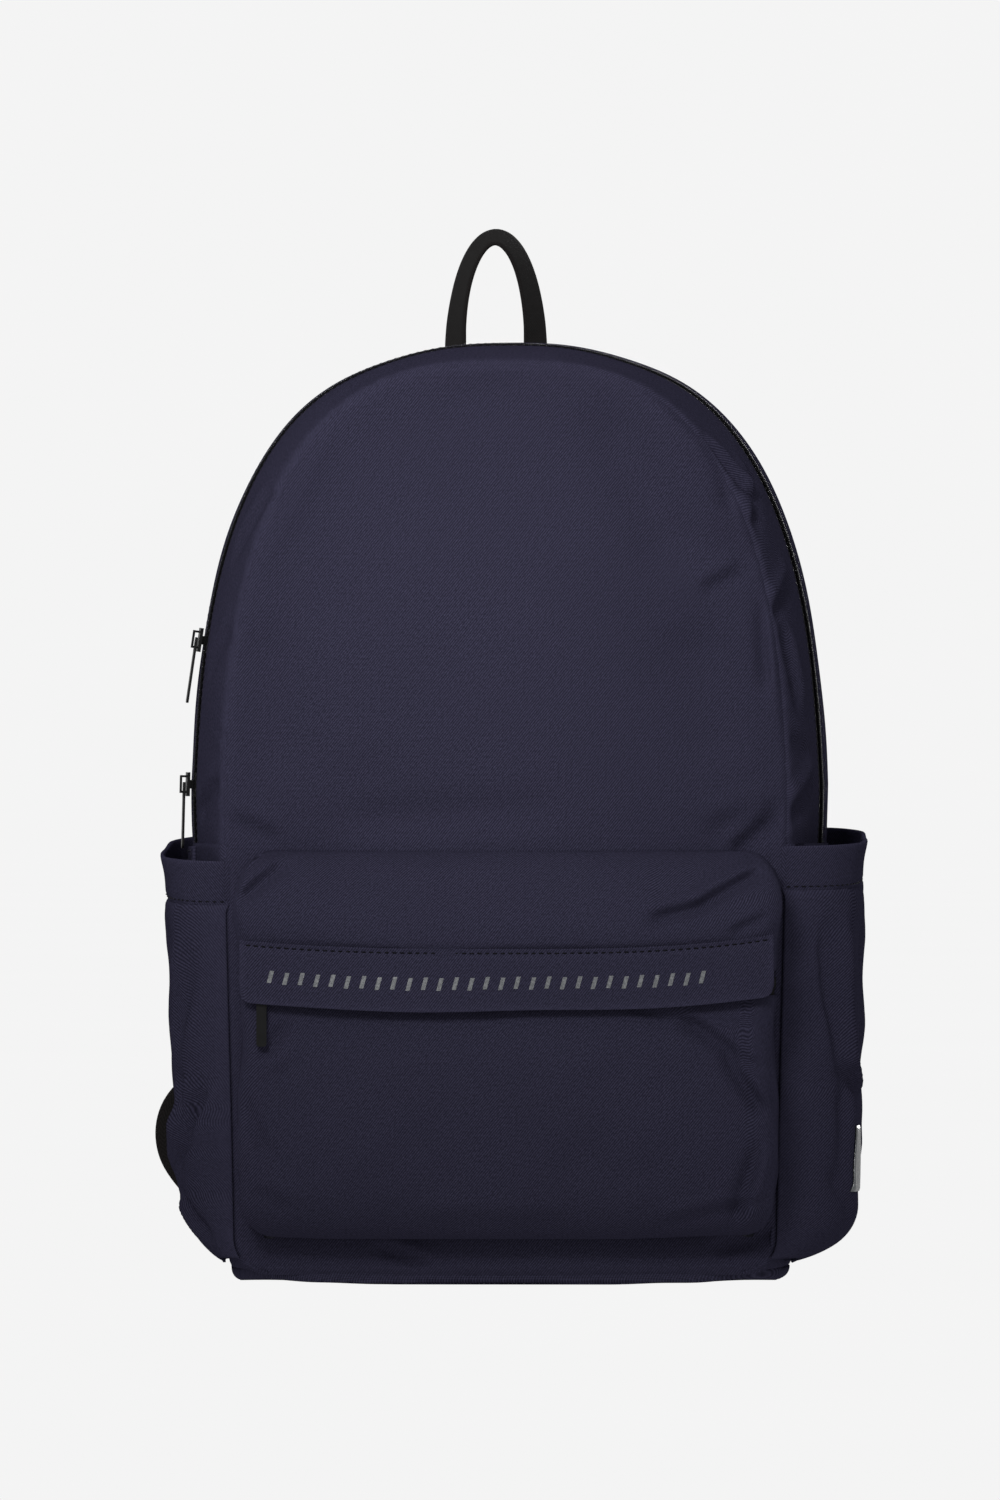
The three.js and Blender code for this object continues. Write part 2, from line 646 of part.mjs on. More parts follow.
// a hollow piece of the pocket between two heights; it stays open towards the wall
function pocketPiece(heights, cutHeights) {
  const outer = loft(heights.map(z => pocketRing(z, 0, 0)));
  const inner = loft(cutHeights.map(z => pocketRing(z, FABRIC, LINING_HOLLOW)));
  return subtract(outer, inner);
}

function pocketTape(fromZ, toZ) {
  const outer = loft([pocketRing(fromZ, 0, 0), pocketRing(toZ, 0, 0)]);
  const innerHeights = [fromZ - 1, toZ + 1];
  return subtract(outer, loft(innerHeights.map(z => pocketRing(z, TAPE.thickness, LINING_HOLLOW))));
}

function stormFlap() {
  const { top, bottom, halfWidth: half, inner, thickness } = FLAP;
  const rows = steps(3).map(t => {
    const z = mix(bottom, top, t);
    return steps(16).map(s => {
      const share = mix(-1, 1, s);
      return V(half * share, inner - thickness + 2.5 * Math.abs(share) ** 24, z);
    });
  });
  return sheet(rows, thickness, V(0, 0, (top + bottom) / 2));
}

function buildFrontPocket() {
  const { bottom, top, zipZ } = POCKET;
  const tapeFar = POCKET_TAPE.slot / 2 + POCKET_TAPE.width;
  const lowTop = zipZ - tapeFar - GAP;
  const highBottom = zipZ + tapeFar + GAP;
  const lowHeights = [bottom, 21, 25, 31, 38, 50, 90, lowTop];
  const lowCut = [bottom + FABRIC, 22.5, 26, 31, 38, 50, 90, lowTop + 1];
  const highHeights = [highBottom, 156, 166, 176, 184, 190, 195, top];
  const highCut = [highBottom - 1, 156, 166, 176, 184, 189, 193, top - FABRIC];
  add('pocket_lower', pocketPiece(lowHeights, lowCut), 'fabric');
  add('pocket_upper', pocketPiece(highHeights, highCut), 'fabric');
  const edge = POCKET_TAPE.slot / 2;
  add('pocket_zip_tape_lower', pocketTape(zipZ - tapeFar, zipZ - edge), 'tape');
  add('pocket_zip_tape_upper', pocketTape(zipZ + edge, zipZ + tapeFar), 'tape');
  const slider = sliderBody(studPieces());
  const lie = new THREE.Matrix4().makeBasis(V(0, 0, 1), V(0, -1, 0), V(1, 0, 0));
  slider.applyMatrix4(lie.setPosition(V(POCKET_SLIDER_X, POCKET.front, zipZ)));
  add('pocket_slider', slider, 'metal');
  const pull = pullBody(1.2, -1.2, PULL.window);
  pull.translate(POCKET_SLIDER_X, POCKET.front - SLIDER.clearance - SLIDER.plate - 0.9, zipZ);
  add('pocket_pull', pull, 'metal');
  add('storm_flap', stormFlap(), 'fabric');
}

// ---------- side pockets ----------
// the outer face's half-width at the rim, its narrowing towards the base, and its bottom rounding
const SIDE_FACE = {
  left: { out: 156.5, taper: 0.03, round: 30 },
  right: { out: 162, taper: 0.01, round: 22 },
};
const RIM = { left: [193, 204], right: [200, 208] };
const RIM_TOP = 200;

// A side pocket's outer face: it stands off the wall, is pinched at both seams and rounded below.
function sideFace(name, y, z) {
  const { frontY, backY, bottom, seamStand } = SIDE_POCKET;
  const { out, taper, round } = SIDE_FACE[name];
  const across = Math.min(1, Math.abs((2 * y - frontY - backY) / (backY - frontY)));
  const low = clamp01((bottom + round - z) / round);
  const seam = halfWidth(z, y) + seamStand;
  const face = out - taper * (RIM_TOP - z) - round * (1 - Math.sqrt(1 - low ** 2));
  return mix(seam, Math.max(face, seam + 3), (1 - across ** 4) ** 0.6);
}

// One level of a side pocket as a closed ring. `level` runs from 0 at the bottom to 1 at the hem's
// seam and `above` lifts it further, parallel to the sloping rim.
function sideRing(name, side, level, above, inset, backInset) {
  const { bottom, hem, frontY, backY } = SIDE_POCKET;
  // the stations crowd towards the seams, where the pocket curves most
  const stations = steps(14).map(t => mix(frontY + inset, backY - inset, (1 - Math.cos(Math.PI * t)) / 2));
  const heightAt = y => {
    const rim = mix(...RIM[name], (y - frontY) / (backY - frontY));
    return mix(bottom, rim - hem, level) + above;
  };
  const outer = stations.map(y => {
    const z = heightAt(y);
    return V(side * (sideFace(name, y, z) - inset), y, z);
  });
  const inner = stations.filter((_, i) => i % 2 === 0).reverse().map(y => {
    const z = heightAt(y);
    return V(side * (halfWidth(z, y) + 0.5 - backInset), y, z);
  });
  return [...outer, ...inner];
}

function sidePocket(name, side) {
  const levels = [0, 0.03, 0.07, 0.13, 0.2, 0.3, 0.65, 1];
  const outer = loft(levels.map(level => sideRing(name, side, level, 0, 0, 0)));
  const hollow = levels.map((level, i) => {
    const above = i === 0 ? FABRIC : i === levels.length - 1 ? 2 : 0;
    return sideRing(name, side, level, above, FABRIC, 3);
  });
  hollow.splice(1, 1);
  return subtract(outer, loft(hollow));
}

function sideHem(name, side) {
  const { hem, hemThickness } = SIDE_POCKET;
  const heights = [GAP, hem / 2, hem];
  const outer = loft(heights.map(above => sideRing(name, side, 1, above, 0, 0)));
  const inner = loft([-1, hem / 2, hem + 1].map(above => sideRing(name, side, 1, above, hemThickness, 3)));
  return subtract(outer, inner);
}

const TAB = { bottom: 42, top: 72, frontY: -36, backY: -22, thickness: 1 };

function reflectiveTab() {
  const rows = steps(4).map(t => {
    const z = mix(TAB.bottom, TAB.top, t);
    return steps(3).map(s => {
      const y = mix(TAB.frontY, TAB.backY, s);
      return V(sideFace('right', y, z) + GAP + TAB.thickness, y, z);
    });
  });
  return sheet(rows, TAB.thickness, BAG_MIDDLE);
}

function buildSidePockets() {
  [['left', -1], ['right', 1]].forEach(([name, side]) => {
    add(`side_pocket_${name}`, sidePocket(name, side), 'fabric');
    add(`side_pocket_hem_${name}`, sideHem(name, side), 'fabric');
  });
  add('reflective_tab', reflectiveTab(), 'reflective');
}

buildMainCompartment();
buildBack();
buildCarrying();
buildZips();
buildFrontPocket();
buildSidePockets();

export default group;
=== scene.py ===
"""The looks of a school backpack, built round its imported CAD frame.

Shapes are worked out in millimetres with the formulas that the frame uses, and turned into metres
when a mesh is made. +Z is up, the front faces -Y.
"""

import math

import bpy
import numpy as np
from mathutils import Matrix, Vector


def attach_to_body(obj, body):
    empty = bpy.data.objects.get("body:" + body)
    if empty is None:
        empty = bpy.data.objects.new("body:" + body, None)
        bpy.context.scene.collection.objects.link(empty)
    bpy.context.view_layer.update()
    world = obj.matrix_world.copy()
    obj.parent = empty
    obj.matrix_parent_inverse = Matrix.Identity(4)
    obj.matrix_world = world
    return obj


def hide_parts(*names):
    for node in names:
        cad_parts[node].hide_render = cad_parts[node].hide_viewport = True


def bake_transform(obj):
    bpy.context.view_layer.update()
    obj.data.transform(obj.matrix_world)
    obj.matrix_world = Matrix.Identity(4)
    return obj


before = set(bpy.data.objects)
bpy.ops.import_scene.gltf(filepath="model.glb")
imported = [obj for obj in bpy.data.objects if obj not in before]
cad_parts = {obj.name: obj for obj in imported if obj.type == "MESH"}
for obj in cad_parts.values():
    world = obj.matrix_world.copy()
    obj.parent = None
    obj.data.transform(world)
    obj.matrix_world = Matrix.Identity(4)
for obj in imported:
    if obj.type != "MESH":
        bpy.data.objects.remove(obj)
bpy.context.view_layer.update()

# ---------- dimensions, in millimetres ----------
MM = 0.001
FRONT_Y = -65.0
BACK_Y = 66.0
ZIP_Y = -14.0
SPRING_Z = 228.0
ARCH_POWER = 2.8
ARCH_TAPER = 0.05
CROWN = 8.0
WALL_BOTTOM = 5.9
WALL_BACK = 63.5
FOLD_Z = 200.0
TAPE_SLOT = 1.0  # half the gap between the two zip tapes
TAPE_WIDTH = 6.5
TOP_DENT = 2.2  # how far the top sinks on each side of the handle
CORNER_RADIUS = 17.0  # of the bottom corners
CLOTH = 1.3  # thickness of the fabric with its lining
POCKET_BOTTOM, POCKET_TOP, POCKET_FRONT = 18.5, 198.0, -101.3
POCKET_HALF, POCKET_ZIP_Z = 122.0, 138.0
POCKET_MIDDLE = 1.8
POCKET_CORNER = 18.0  # radius of its four corners
POCKET_TURN = 0.25  # the share of its depth that the rounded edge of its face takes
BELLY_Z, SHOULDER_Z = 50.0, 156.0  # between these heights the pocket has its full depth
FLAP_FRONT = -107.8
FLAP_TOP, FLAP_RISE_LEFT, FLAP_RISE_RIGHT = 152.8, 4.0, 6.6  # its middle, and how far its ends rise
FLAP_DROP = 27.6
FLAP_HALF = 121.4
FLAP_ROUND = 5.0  # radius of its two lower corners
FLAP_STITCH = 1.4  # how far below its top edge it is sewn on
WEBBING_WIDTH, WEBBING_THICKNESS = 25.0, 1.6
BAG_MIDDLE = np.array([0.0, 0.0, 200.0])
PANEL_MIDDLE_Z = 205  # where the rings of a whole panel close
SEED = 7

CAMERA_DISTANCE = 9.0
CAMERA_AZIMUTH = 1.6  # degrees towards the right-hand side
CAMERA_TARGET = (-0.0041, 0.0, 0.2437)
FRAME_HEIGHT = 0.6885  # what the picture's height covers at the bag, in metres
SENSOR = 36.0
AMBIENT = 0.42
KEY_POWER, KEY_SIZE, KEY_ANGLE = 54.0, 0.25, 33.5
KEY_PLACE, KEY_TARGET = (-0.25, -0.98, 0.74), (-0.010, 0, 0.312)
BACK_POWER, BACK_SIZE = 22.0, 1.0
BACK_PLACE, BACK_TARGET = (0.15, 1.9, 0.6), (0, 0, 0.2)


# ---------- small mathematics ----------
def mix(a, b, t):
    return a + (b - a) * t


def smooth(t):
    t = np.clip(t, 0, 1)
    return t * t * (3 - 2 * t)


def bell(value, middle, width):
    return np.exp(-(((value - middle) / width) ** 2))


def crowded(start, end, count, share=0.6):
    """Stations from start to end that stand closer together near both ends."""
    t = np.linspace(0, 1, count)
    return mix(start, end, mix(t, (1 - np.cos(math.pi * t)) / 2, share))


def even(points, count):
    """A line resampled to evenly spaced points."""
    steps = np.linalg.norm(np.diff(points, axis=0), axis=1)
    length = np.concatenate([[0], np.cumsum(steps)])
    at = np.linspace(0, length[-1], count)
    return np.stack([np.interp(at, length, points[:, k]) for k in range(points.shape[1])], axis=1)


def ripple(u, v, scale, seed):
    """A soft random swell over two coordinates, about from -1 to 1."""
    rng = np.random.default_rng(SEED + seed)
    total = np.zeros(np.broadcast(u, v).shape)
    for _ in range(7):
        angle, phase = rng.random(2) * 2 * math.pi
        wave = 2 * math.pi / (scale * rng.uniform(0.7, 1.8))
        total += np.sin((u * math.cos(angle) + v * math.sin(angle)) * wave + phase)
    return total / 3.5


def pucker(along, margin, scale, seed):
    """The small gathers of cloth beside a seam: they fade with the distance from it."""
    rng = np.random.default_rng(SEED + seed)
    total = np.zeros(np.shape(along))
    for _ in range(4):
        wave = 2 * math.pi / (scale * rng.uniform(0.6, 1.6))
        total += np.sin(along * wave + rng.random() * 2 * math.pi)
    return total / 2 * np.exp(-margin / (scale * 0.8))


def crease(a, b, start, end, width, depth):
    """A fold along a line in two coordinates: a valley with a lower ridge beside it."""
    run = np.array(end, float) - np.array(start, float)
    length = float(np.hypot(*run))
    along = ((a - start[0]) * run[0] + (b - start[1]) * run[1]) / length**2
    across = ((b - start[1]) * run[0] - (a - start[0]) * run[1]) / length / width
    fade = smooth((along + 0.12) / 0.35) * smooth((1.12 - along) / 0.35)
    return depth * fade * (0.65 * np.exp(-((across - 1.5) ** 2)) - np.exp(-(across**2)))


def folds(a, b, table, strength=1.0):
    return strength * sum(crease(a, b, *row) for row in table)


# ---------- the outline of the main compartment ----------
def bowed(front, back, bow):
    def at(y):
        share = (y - FRONT_Y) / (BACK_Y - 1 - FRONT_Y)
        return mix(front, back, share) + 4 * bow * share * (1 - share)

    return at


spring_width = bowed(129.6, 139.0, 11.7)
base_width = bowed(125.4, 131.0, 0.0)
arch_top = bowed(421.0, 424.0, 8.3)


def half_width(z, y):
    low = mix(base_width(y), spring_width(y), smooth(z / SPRING_Z))
    climb = np.clip((z - SPRING_Z) / (arch_top(y) - SPRING_Z), 0, 1)
    reach = spring_width(y) - ARCH_TAPER * (z - SPRING_Z)
    high = reach * (1 - climb**ARCH_POWER) ** (1 / ARCH_POWER)
    return np.where(z <= SPRING_Z, low, high)


def wall_width(z, y):
    """The half width of the walls, drawn in round the bottom, most of all at its four corners."""
    corner = smooth((np.abs(y) - 25) / 38)
    radius = mix(4.0, CORNER_RADIUS, corner)
    rest = np.clip(radius - (z - WALL_BOTTOM + 1.5), 0, radius)
    return half_width(z, y) - radius + np.sqrt(radius**2 - rest**2)


def arch_line(y, low, count, inset=0.0):
    """The wall's outline at one depth, from the left over the top to the right, as (x, z)."""
    angle = np.linspace(math.pi, 0, 721)
    rise = (arch_top(y) - SPRING_Z) * np.abs(np.sin(angle)) ** (2 / ARCH_POWER)
    reach = spring_width(y) - ARCH_TAPER * rise
    x = reach * np.abs(np.cos(angle)) ** (2 / ARCH_POWER) * np.sign(np.cos(angle))
    scale = 1 - inset / spring_width(y)
    arch = np.stack([x * scale, SPRING_Z + rise * scale], axis=1)
    heights = np.linspace(low, SPRING_Z, 30)[:-1]
    side = half_width(heights, y) - inset
    left = np.stack([-side, heights], axis=1)
    right = np.stack([side, heights], axis=1)[::-1]
    line = even(np.concatenate([left, arch, right]), count)
    dents = bell(line[:, 0], -60, 30) + bell(line[:, 0], 58, 28)
    line[:, 1] -= TOP_DENT * smooth((y - FRONT_Y) / 20) * dents
    return line


def closed_outline(y, low, count, inset=0.0, corner=CORNER_RADIUS):
    """The whole outline at one depth with its bottom edge and rounded bottom corners."""
    side = arch_line(y, low + corner, 400, inset)
    (left, low_left), (right, _) = side[0], side[-1]
    turn = np.linspace(0, math.pi / 2, 9)[1:]
    around = np.stack([np.cos(turn), -np.sin(turn)], axis=1) * corner
    right_corner = around + [right - corner, low_left]
    left_corner = right_corner[::-1] * [-1, 1] + [left + right, 0]
    return even(np.concatenate([side, right_corner, left_corner, side[:1]]), count + 1)[:-1]


def crown(x, z):
    """How far the front panel bulges forward."""
    climb = np.clip((z - SPRING_Z) / (arch_top(FRONT_Y) - SPRING_Z), 0, None)
    across = np.abs(x) / (spring_width(FRONT_Y) - ARCH_TAPER * np.maximum(z - SPRING_Z, 0))
    radius = (climb**ARCH_POWER + across**ARCH_POWER) ** (1 / ARCH_POWER)
    high = CROWN * (1 - np.minimum(1, radius) ** 2)
    lift = np.clip(z / 150, 0, 1)
    side = np.minimum(1, np.abs(x) / half_width(z, FRONT_Y))
    low = CROWN * mix(0.45, 1, lift * (2 - lift)) * (1 - side**2)
    return np.where(z > SPRING_Z, high, low)


# ---------- meshes ----------
BEAD_SIDES = 6
STITCH = [(-0.5, -0.25, 0.25), (-0.32, 0.1, 0.85), (0, 0.2, 1), (0.32, 0.1, 0.85), (0.5, -0.25, 0.25)]


def tag(mesh, name, values):
    """A number or a vector on every vertex, which the materials read."""
    values = np.asarray(values, np.float32)
    if values.ndim == 1:
        mesh.attributes.new(name, "FLOAT", "POINT").data.foreach_set("value", values)
        return
    full = np.zeros((len(values), 3), np.float32)
    full[:, : values.shape[1]] = values
    mesh.attributes.new(name, "FLOAT_VECTOR", "POINT").data.foreach_set("vector", full.ravel())


def make_object(name, points, faces, material, cloth=None, edge=None):
    """A smooth-shaded object from points in millimetres, with its cloth coordinates in metres."""
    mesh = bpy.data.meshes.new(name)
    mesh.from_pydata((np.asarray(points) * MM).tolist(), [], [list(map(int, f)) for f in faces])
    mesh.polygons.foreach_set("use_smooth", [True] * len(mesh.polygons))
    mesh.materials.append(material)
    if cloth is not None:
        tag(mesh, "cloth", np.asarray(cloth) * MM)
    if edge is not None:
        tag(mesh, "edge", edge)
    mesh.update()
    obj = bpy.data.objects.new(name, mesh)
    bpy.context.scene.collection.objects.link(obj)
    return obj


def surface_normals(points, inside):
    """Unit normals of a grid of points, turned away from the point inside."""
    normals = np.cross(np.gradient(points, axis=1), np.gradient(points, axis=0))
    normals /= np.maximum(np.linalg.norm(normals, axis=2, keepdims=True), 1e-9)
    facing = (normals * (points - np.asarray(inside))).sum()
    return normals if facing > 0 else -normals


def grid_faces(rows, cols, closed):
    index = np.arange(rows * cols).reshape(rows, cols)
    if closed:
        index = np.concatenate([index, index[:, :1]], axis=1)
    quads = np.stack([index[:-1, :-1], index[:-1, 1:], index[1:, 1:], index[1:, :-1]], axis=-1)
    return quads.reshape(-1, 4)


def cloth_lengths(points):
    """Cloth coordinates of a grid: how far each point lies along its row and its column."""
    across = np.linalg.norm(np.diff(points, axis=1), axis=2)
    up = np.linalg.norm(np.diff(points, axis=0), axis=2)
    u = np.concatenate([np.zeros((len(points), 1)), np.cumsum(across, axis=1)], axis=1)
    v = np.concatenate([np.zeros((1, points.shape[1])), np.cumsum(up, axis=0)], axis=0)
    u -= u[:, u.shape[1] // 2][:, None]
    return np.stack([u, v], axis=2)


def grid_object(name, points, faces, material, cloth, edge):
    """An object over a grid of points, with cloth coordinates and an edge value for every point."""
    cloth = cloth_lengths(points) if cloth is None else cloth
    edge = np.zeros(points.shape[:2]) if edge is None else edge
    flat = cloth.reshape(-1, cloth.shape[-1])
    return make_object(name, points.reshape(-1, 3), faces, material, flat, edge.ravel())


def sheet(name, points, material, inside, closed=False, cloth=None, edge=None, thickness=CLOTH,
          lining=None, centre=False):
    """A cloth surface over a grid of points; its thickness lies on the inner side.

    closed joins the two ends of each row, and centre fills the last row, which is then a small ring.
    """
    rows, cols = points.shape[:2]
    faces = grid_faces(rows, cols, closed).tolist()
    if centre:
        faces.append(list(range((rows - 1) * cols, rows * cols)))
    a, b, d = points[:-1, :-1], points[:-1, 1:], points[1:, :-1]
    facing = (np.cross(b - a, d - a) * (a - np.asarray(inside))).sum()
    if facing < 0:
        faces = [face[::-1] for face in faces]
    obj = grid_object(name, points, faces, material, cloth, edge)
    if thickness:
        thicken(obj, thickness, lining)
    return obj


def thicken(obj, thickness, lining=None):
    modifier = obj.modifiers.new("thickness", "SOLIDIFY")
    modifier.thickness = thickness * MM
    modifier.offset = -1
    if lining is not None:
        obj.data.materials.append(lining)
        modifier.material_offset = 1


def disc(name, outline, shares, depth, material, faces_back=False, thickness=CLOTH, lining=None):
    """A sheet that fills a closed outline with rings; depth gives y from x, z and the margin."""
    centre = np.array([0.0, PANEL_MIDDLE_Z])
    rings = np.stack([centre + (outline - centre) * share for share in shares])
    reach = np.linalg.norm(outline - centre, axis=1)
    tangent = np.roll(outline, -1, axis=0) - np.roll(outline, 1, axis=0)
    tangent /= np.linalg.norm(tangent, axis=1, keepdims=True)
    slant = np.abs(np.cross(tangent, (outline - centre) / reach[:, None]))
    margin = (1 - np.asarray(shares))[:, None] * (reach * slant)[None, :]
    x, z = rings[..., 0], rings[..., 1]
    points = np.stack([x, depth(x, z, margin), z], axis=2)
    inside = (0, -500 if faces_back else 500, 200)
    flat = np.stack([x, z], axis=2)
    edge = np.exp(-margin / 3)
    return sheet(name, points, material, inside, True, flat, edge, thickness, lining, centre=True)


def tube(centre_line, side, out, outline):
    """Rings of an outline carried along a line, as a grid of points closed round each ring."""
    outline = np.asarray(outline, float)
    return (
        centre_line[:, None, :]
        + side[:, None, :] * outline[..., 0][..., None]
        + out[:, None, :] * outline[..., 1][..., None]
    )


def capped_tube(name, points, material, cloth=None, edge=None):
    """A closed body from rings of points, with its two ends filled."""
    rows, cols = points.shape[:2]
    faces = [list(f) for f in grid_faces(rows, cols, True)]
    faces.append(list(range(cols))[::-1])
    faces.append([(rows - 1) * cols + i for i in range(cols)])
    obj = grid_object(name, points, faces, material, cloth, edge)
    fix_facing(obj)
    return obj


def fix_facing(obj):
    """Turns a closed mesh so that its faces look out."""
    mesh = obj.data
    mesh.calc_loop_triangles()
    co = np.array([v.co for v in mesh.vertices])
    tri = np.array([t.vertices for t in mesh.loop_triangles])
    a, b, c = co[tri[:, 0]], co[tri[:, 1]], co[tri[:, 2]]
    if np.einsum("ij,ij->i", a, np.cross(b, c)).sum() < 0:
        mesh.flip_normals()


def curve_through(points, count):
    """A centripetal curve through points, resampled evenly: positions and unit tangents."""
    pts = np.asarray(points, float)
    pts = np.concatenate([[2 * pts[0] - pts[1]], pts, [2 * pts[-1] - pts[-2]]])
    out = []
    share = np.linspace(0, 1, 25)[:, None]
    for p0, p1, p2, p3 in zip(pts, pts[1:], pts[2:], pts[3:]):
        d0, d1, d2 = (math.sqrt(np.linalg.norm(b - a)) for a, b in ((p0, p1), (p1, p2), (p2, p3)))
        m1 = ((p1 - p0) / d0 - (p2 - p0) / (d0 + d1) + (p2 - p1) / d1) * d1
        m2 = ((p2 - p1) / d1 - (p3 - p1) / (d1 + d2) + (p3 - p2) / d2) * d1
        c2, c3 = 3 * (p2 - p1) - 2 * m1 - m2, 2 * (p1 - p2) + m1 + m2
        out.append(p1 + m1 * share + c2 * share**2 + c3 * share**3)
    line = even(np.concatenate([piece[:-1] for piece in out[:-1]] + [out[-1]]), count)
    tangent = np.gradient(line, axis=0)
    return line, tangent / np.linalg.norm(tangent, axis=1, keepdims=True)


def beads(name, spots, profile, material):
    """Many small rounded bodies in one object.

    A spot is its place with its directions along, aside and up. The profile is a list of rings, each
    a station along, a rise, a width and a height.
    """
    turn = np.linspace(0, 2 * math.pi, BEAD_SIDES, endpoint=False)
    ring = list(range(BEAD_SIDES))
    last = BEAD_SIDES * (len(profile) - 1)
    ring_faces = grid_faces(len(profile), BEAD_SIDES, True)
    points, faces = [], []
    for place, along, aside, up in spots:
        first = len(points)
        for station, rise, width, height in profile:
            middle = place + along * station + up * rise
            points += [middle + aside * width * math.cos(t) + up * height * math.sin(t) for t in turn]
        faces += (ring_faces + first).tolist()
        faces.append([first + i for i in ring][::-1])
        faces.append([first + last + i for i in ring])
    obj = make_object(name, np.array(points), faces, material)
    fix_facing(obj)
    return obj


def unit(vectors):
    return vectors / np.linalg.norm(vectors, axis=1, keepdims=True)


def stitches(name, line, normals, material, pitch=3.5, length=2.5, radius=0.26):
    """A row of sewing stitches: small round-ended threads that lie on a surface."""
    count = max(2, int(np.linalg.norm(np.diff(line, axis=0), axis=1).sum() / pitch))
    path = even(np.concatenate([line, normals], axis=1), count * 2 + 1)[1::2]
    at, up = path[:, :3], path[:, 3:]
    ahead = unit(np.gradient(at, axis=0))
    up = unit(up - ahead * (up * ahead).sum(axis=1, keepdims=True))
    profile = [(station * length, rise, width * radius, width * radius) for station, rise, width in STITCH]
    return beads(name, zip(at, ahead, np.cross(ahead, up), up), profile, material)


# ---------- materials ----------
def linear(red, green, blue):
    """A display colour from 0 to 255 as the linear colour that shaders take."""
    shares = [c / 255 for c in (red, green, blue)]
    return tuple(((c + 0.055) / 1.055) ** 2.4 if c > 0.04 else c / 12.92 for c in shares)


class Nodes:
    """A material's node tree with short calls for the nodes used here."""

    def __init__(self, name):
        self.material = bpy.data.materials.new(name)
        self.material.use_nodes = True
        self.tree = self.material.node_tree
        self.shader = self.tree.nodes["Principled BSDF"]

    def link(self, a, b):
        self.tree.links.new(a, b)

    def put(self, socket, value):
        if isinstance(value, bpy.types.NodeSocket):
            self.link(value, socket)
        else:
            socket.default_value = value

    def math(self, operation, *values):
        node = self.tree.nodes.new("ShaderNodeMath")
        node.operation = operation
        for socket, value in zip(node.inputs, values):
            self.put(socket, value)
        return node.outputs[0]

    def attribute(self, name, output):
        node = self.tree.nodes.new("ShaderNodeAttribute")
        node.attribute_name = name
        return node.outputs[output]

    def place(self, own):
        """The cloth's own coordinates, or the object's where a piece has none."""
        if own:
            return self.attribute("cloth", "Vector")
        return self.tree.nodes.new("ShaderNodeTexCoord").outputs["Object"]

    def split(self, vector):
        node = self.tree.nodes.new("ShaderNodeSeparateXYZ")
        self.link(vector, node.inputs[0])
        return node.outputs

    def noise(self, vector, size, detail=2.0, roughness=0.5):
        node = self.tree.nodes.new("ShaderNodeTexNoise")
        self.link(vector, node.inputs["Vector"])
        node.inputs["Scale"].default_value = 1 / (size * MM)
        node.inputs["Detail"].default_value = detail
        node.inputs["Roughness"].default_value = roughness
        return node.outputs["Fac"]

    def cells(self, vector, size):
        node = self.tree.nodes.new("ShaderNodeTexVoronoi")
        self.link(vector, node.inputs["Vector"])
        node.inputs["Scale"].default_value = 1 / (size * MM)
        return node.outputs["Distance"]

    def wave(self, amount, period):
        """A sine of a length, from 0 to 1."""
        turned = self.math("MULTIPLY", amount, 2 * math.pi / (period * MM))
        return self.math("MULTIPLY_ADD", self.math("SINE", turned), 0.5, 0.5)

    def tone(self, factor, dark, light):
        """A colour that runs from dark to light with a factor."""
        node = self.tree.nodes.new("ShaderNodeMix")
        node.data_type = "RGBA"
        self.put(node.inputs[0], factor)
        self.put(node.inputs[6], dark if isinstance(dark, bpy.types.NodeSocket) else (*dark, 1))
        self.put(node.inputs[7], light if isinstance(light, bpy.types.NodeSocket) else (*light, 1))
        return node.outputs[2]

    def bump(self, height, distance, strength=1.0):
        node = self.tree.nodes.new("ShaderNodeBump")
        node.inputs["Strength"].default_value = strength
        node.inputs["Distance"].default_value = distance * MM
        self.link(height, node.inputs["Height"])
        self.link(node.outputs[0], self.shader.inputs["Normal"])

    def finish(self, **values):
        for name, value in values.items():
            self.put(self.shader.inputs[name.replace("_", " ")], value)
        return self.material


def scaled(colour, factor):
    return tuple(c * factor for c in colour)


def twill(name, colour):
    """Woven polyester twill: slanting ribs, uneven yarns, soft patches and paler edges."""
    n = Nodes(name)
    place = n.place(True)
    u, v, _ = n.split(place)
    slant = n.math("SUBTRACT", n.math("MULTIPLY", u, 0.78), n.math("MULTIPLY", v, 0.62))
    rib = n.wave(slant, 0.98)
    yarn = n.wave(v, 0.55)
    fine = n.noise(place, 1.2, 1)
    patch = n.noise(place, 55, 3, 0.6)
    weave = n.math("ADD", n.math("MULTIPLY", rib, 0.55), n.math("MULTIPLY", yarn, 0.3))
    weave = n.math("MULTIPLY", weave, n.math("MULTIPLY_ADD", fine, 1.9, 0.2))
    base = n.tone(weave, scaled(colour, 0.25), scaled(colour, 2.2))
    slub = n.noise(place, 2.6, 2, 0.7)
    base = n.tone(n.math("MULTIPLY", slub, 0.3), base, scaled(colour, 0.6))
    base = n.tone(n.math("MULTIPLY", patch, 0.35), base, scaled(colour, 0.78))
    uneven = n.math("MULTIPLY", n.noise(place, 7, 2), 0.55)
    worn = n.math("MULTIPLY", n.attribute("edge", "Fac"), uneven)
    base = n.tone(worn, base, scaled(colour, 2.0))
    n.bump(weave, 0.22, 0.7)
    rough = n.math("MULTIPLY_ADD", patch, 0.16, 0.78)
    return n.finish(Base_Color=base, Roughness=rough, Specular_IOR_Level=0.0)


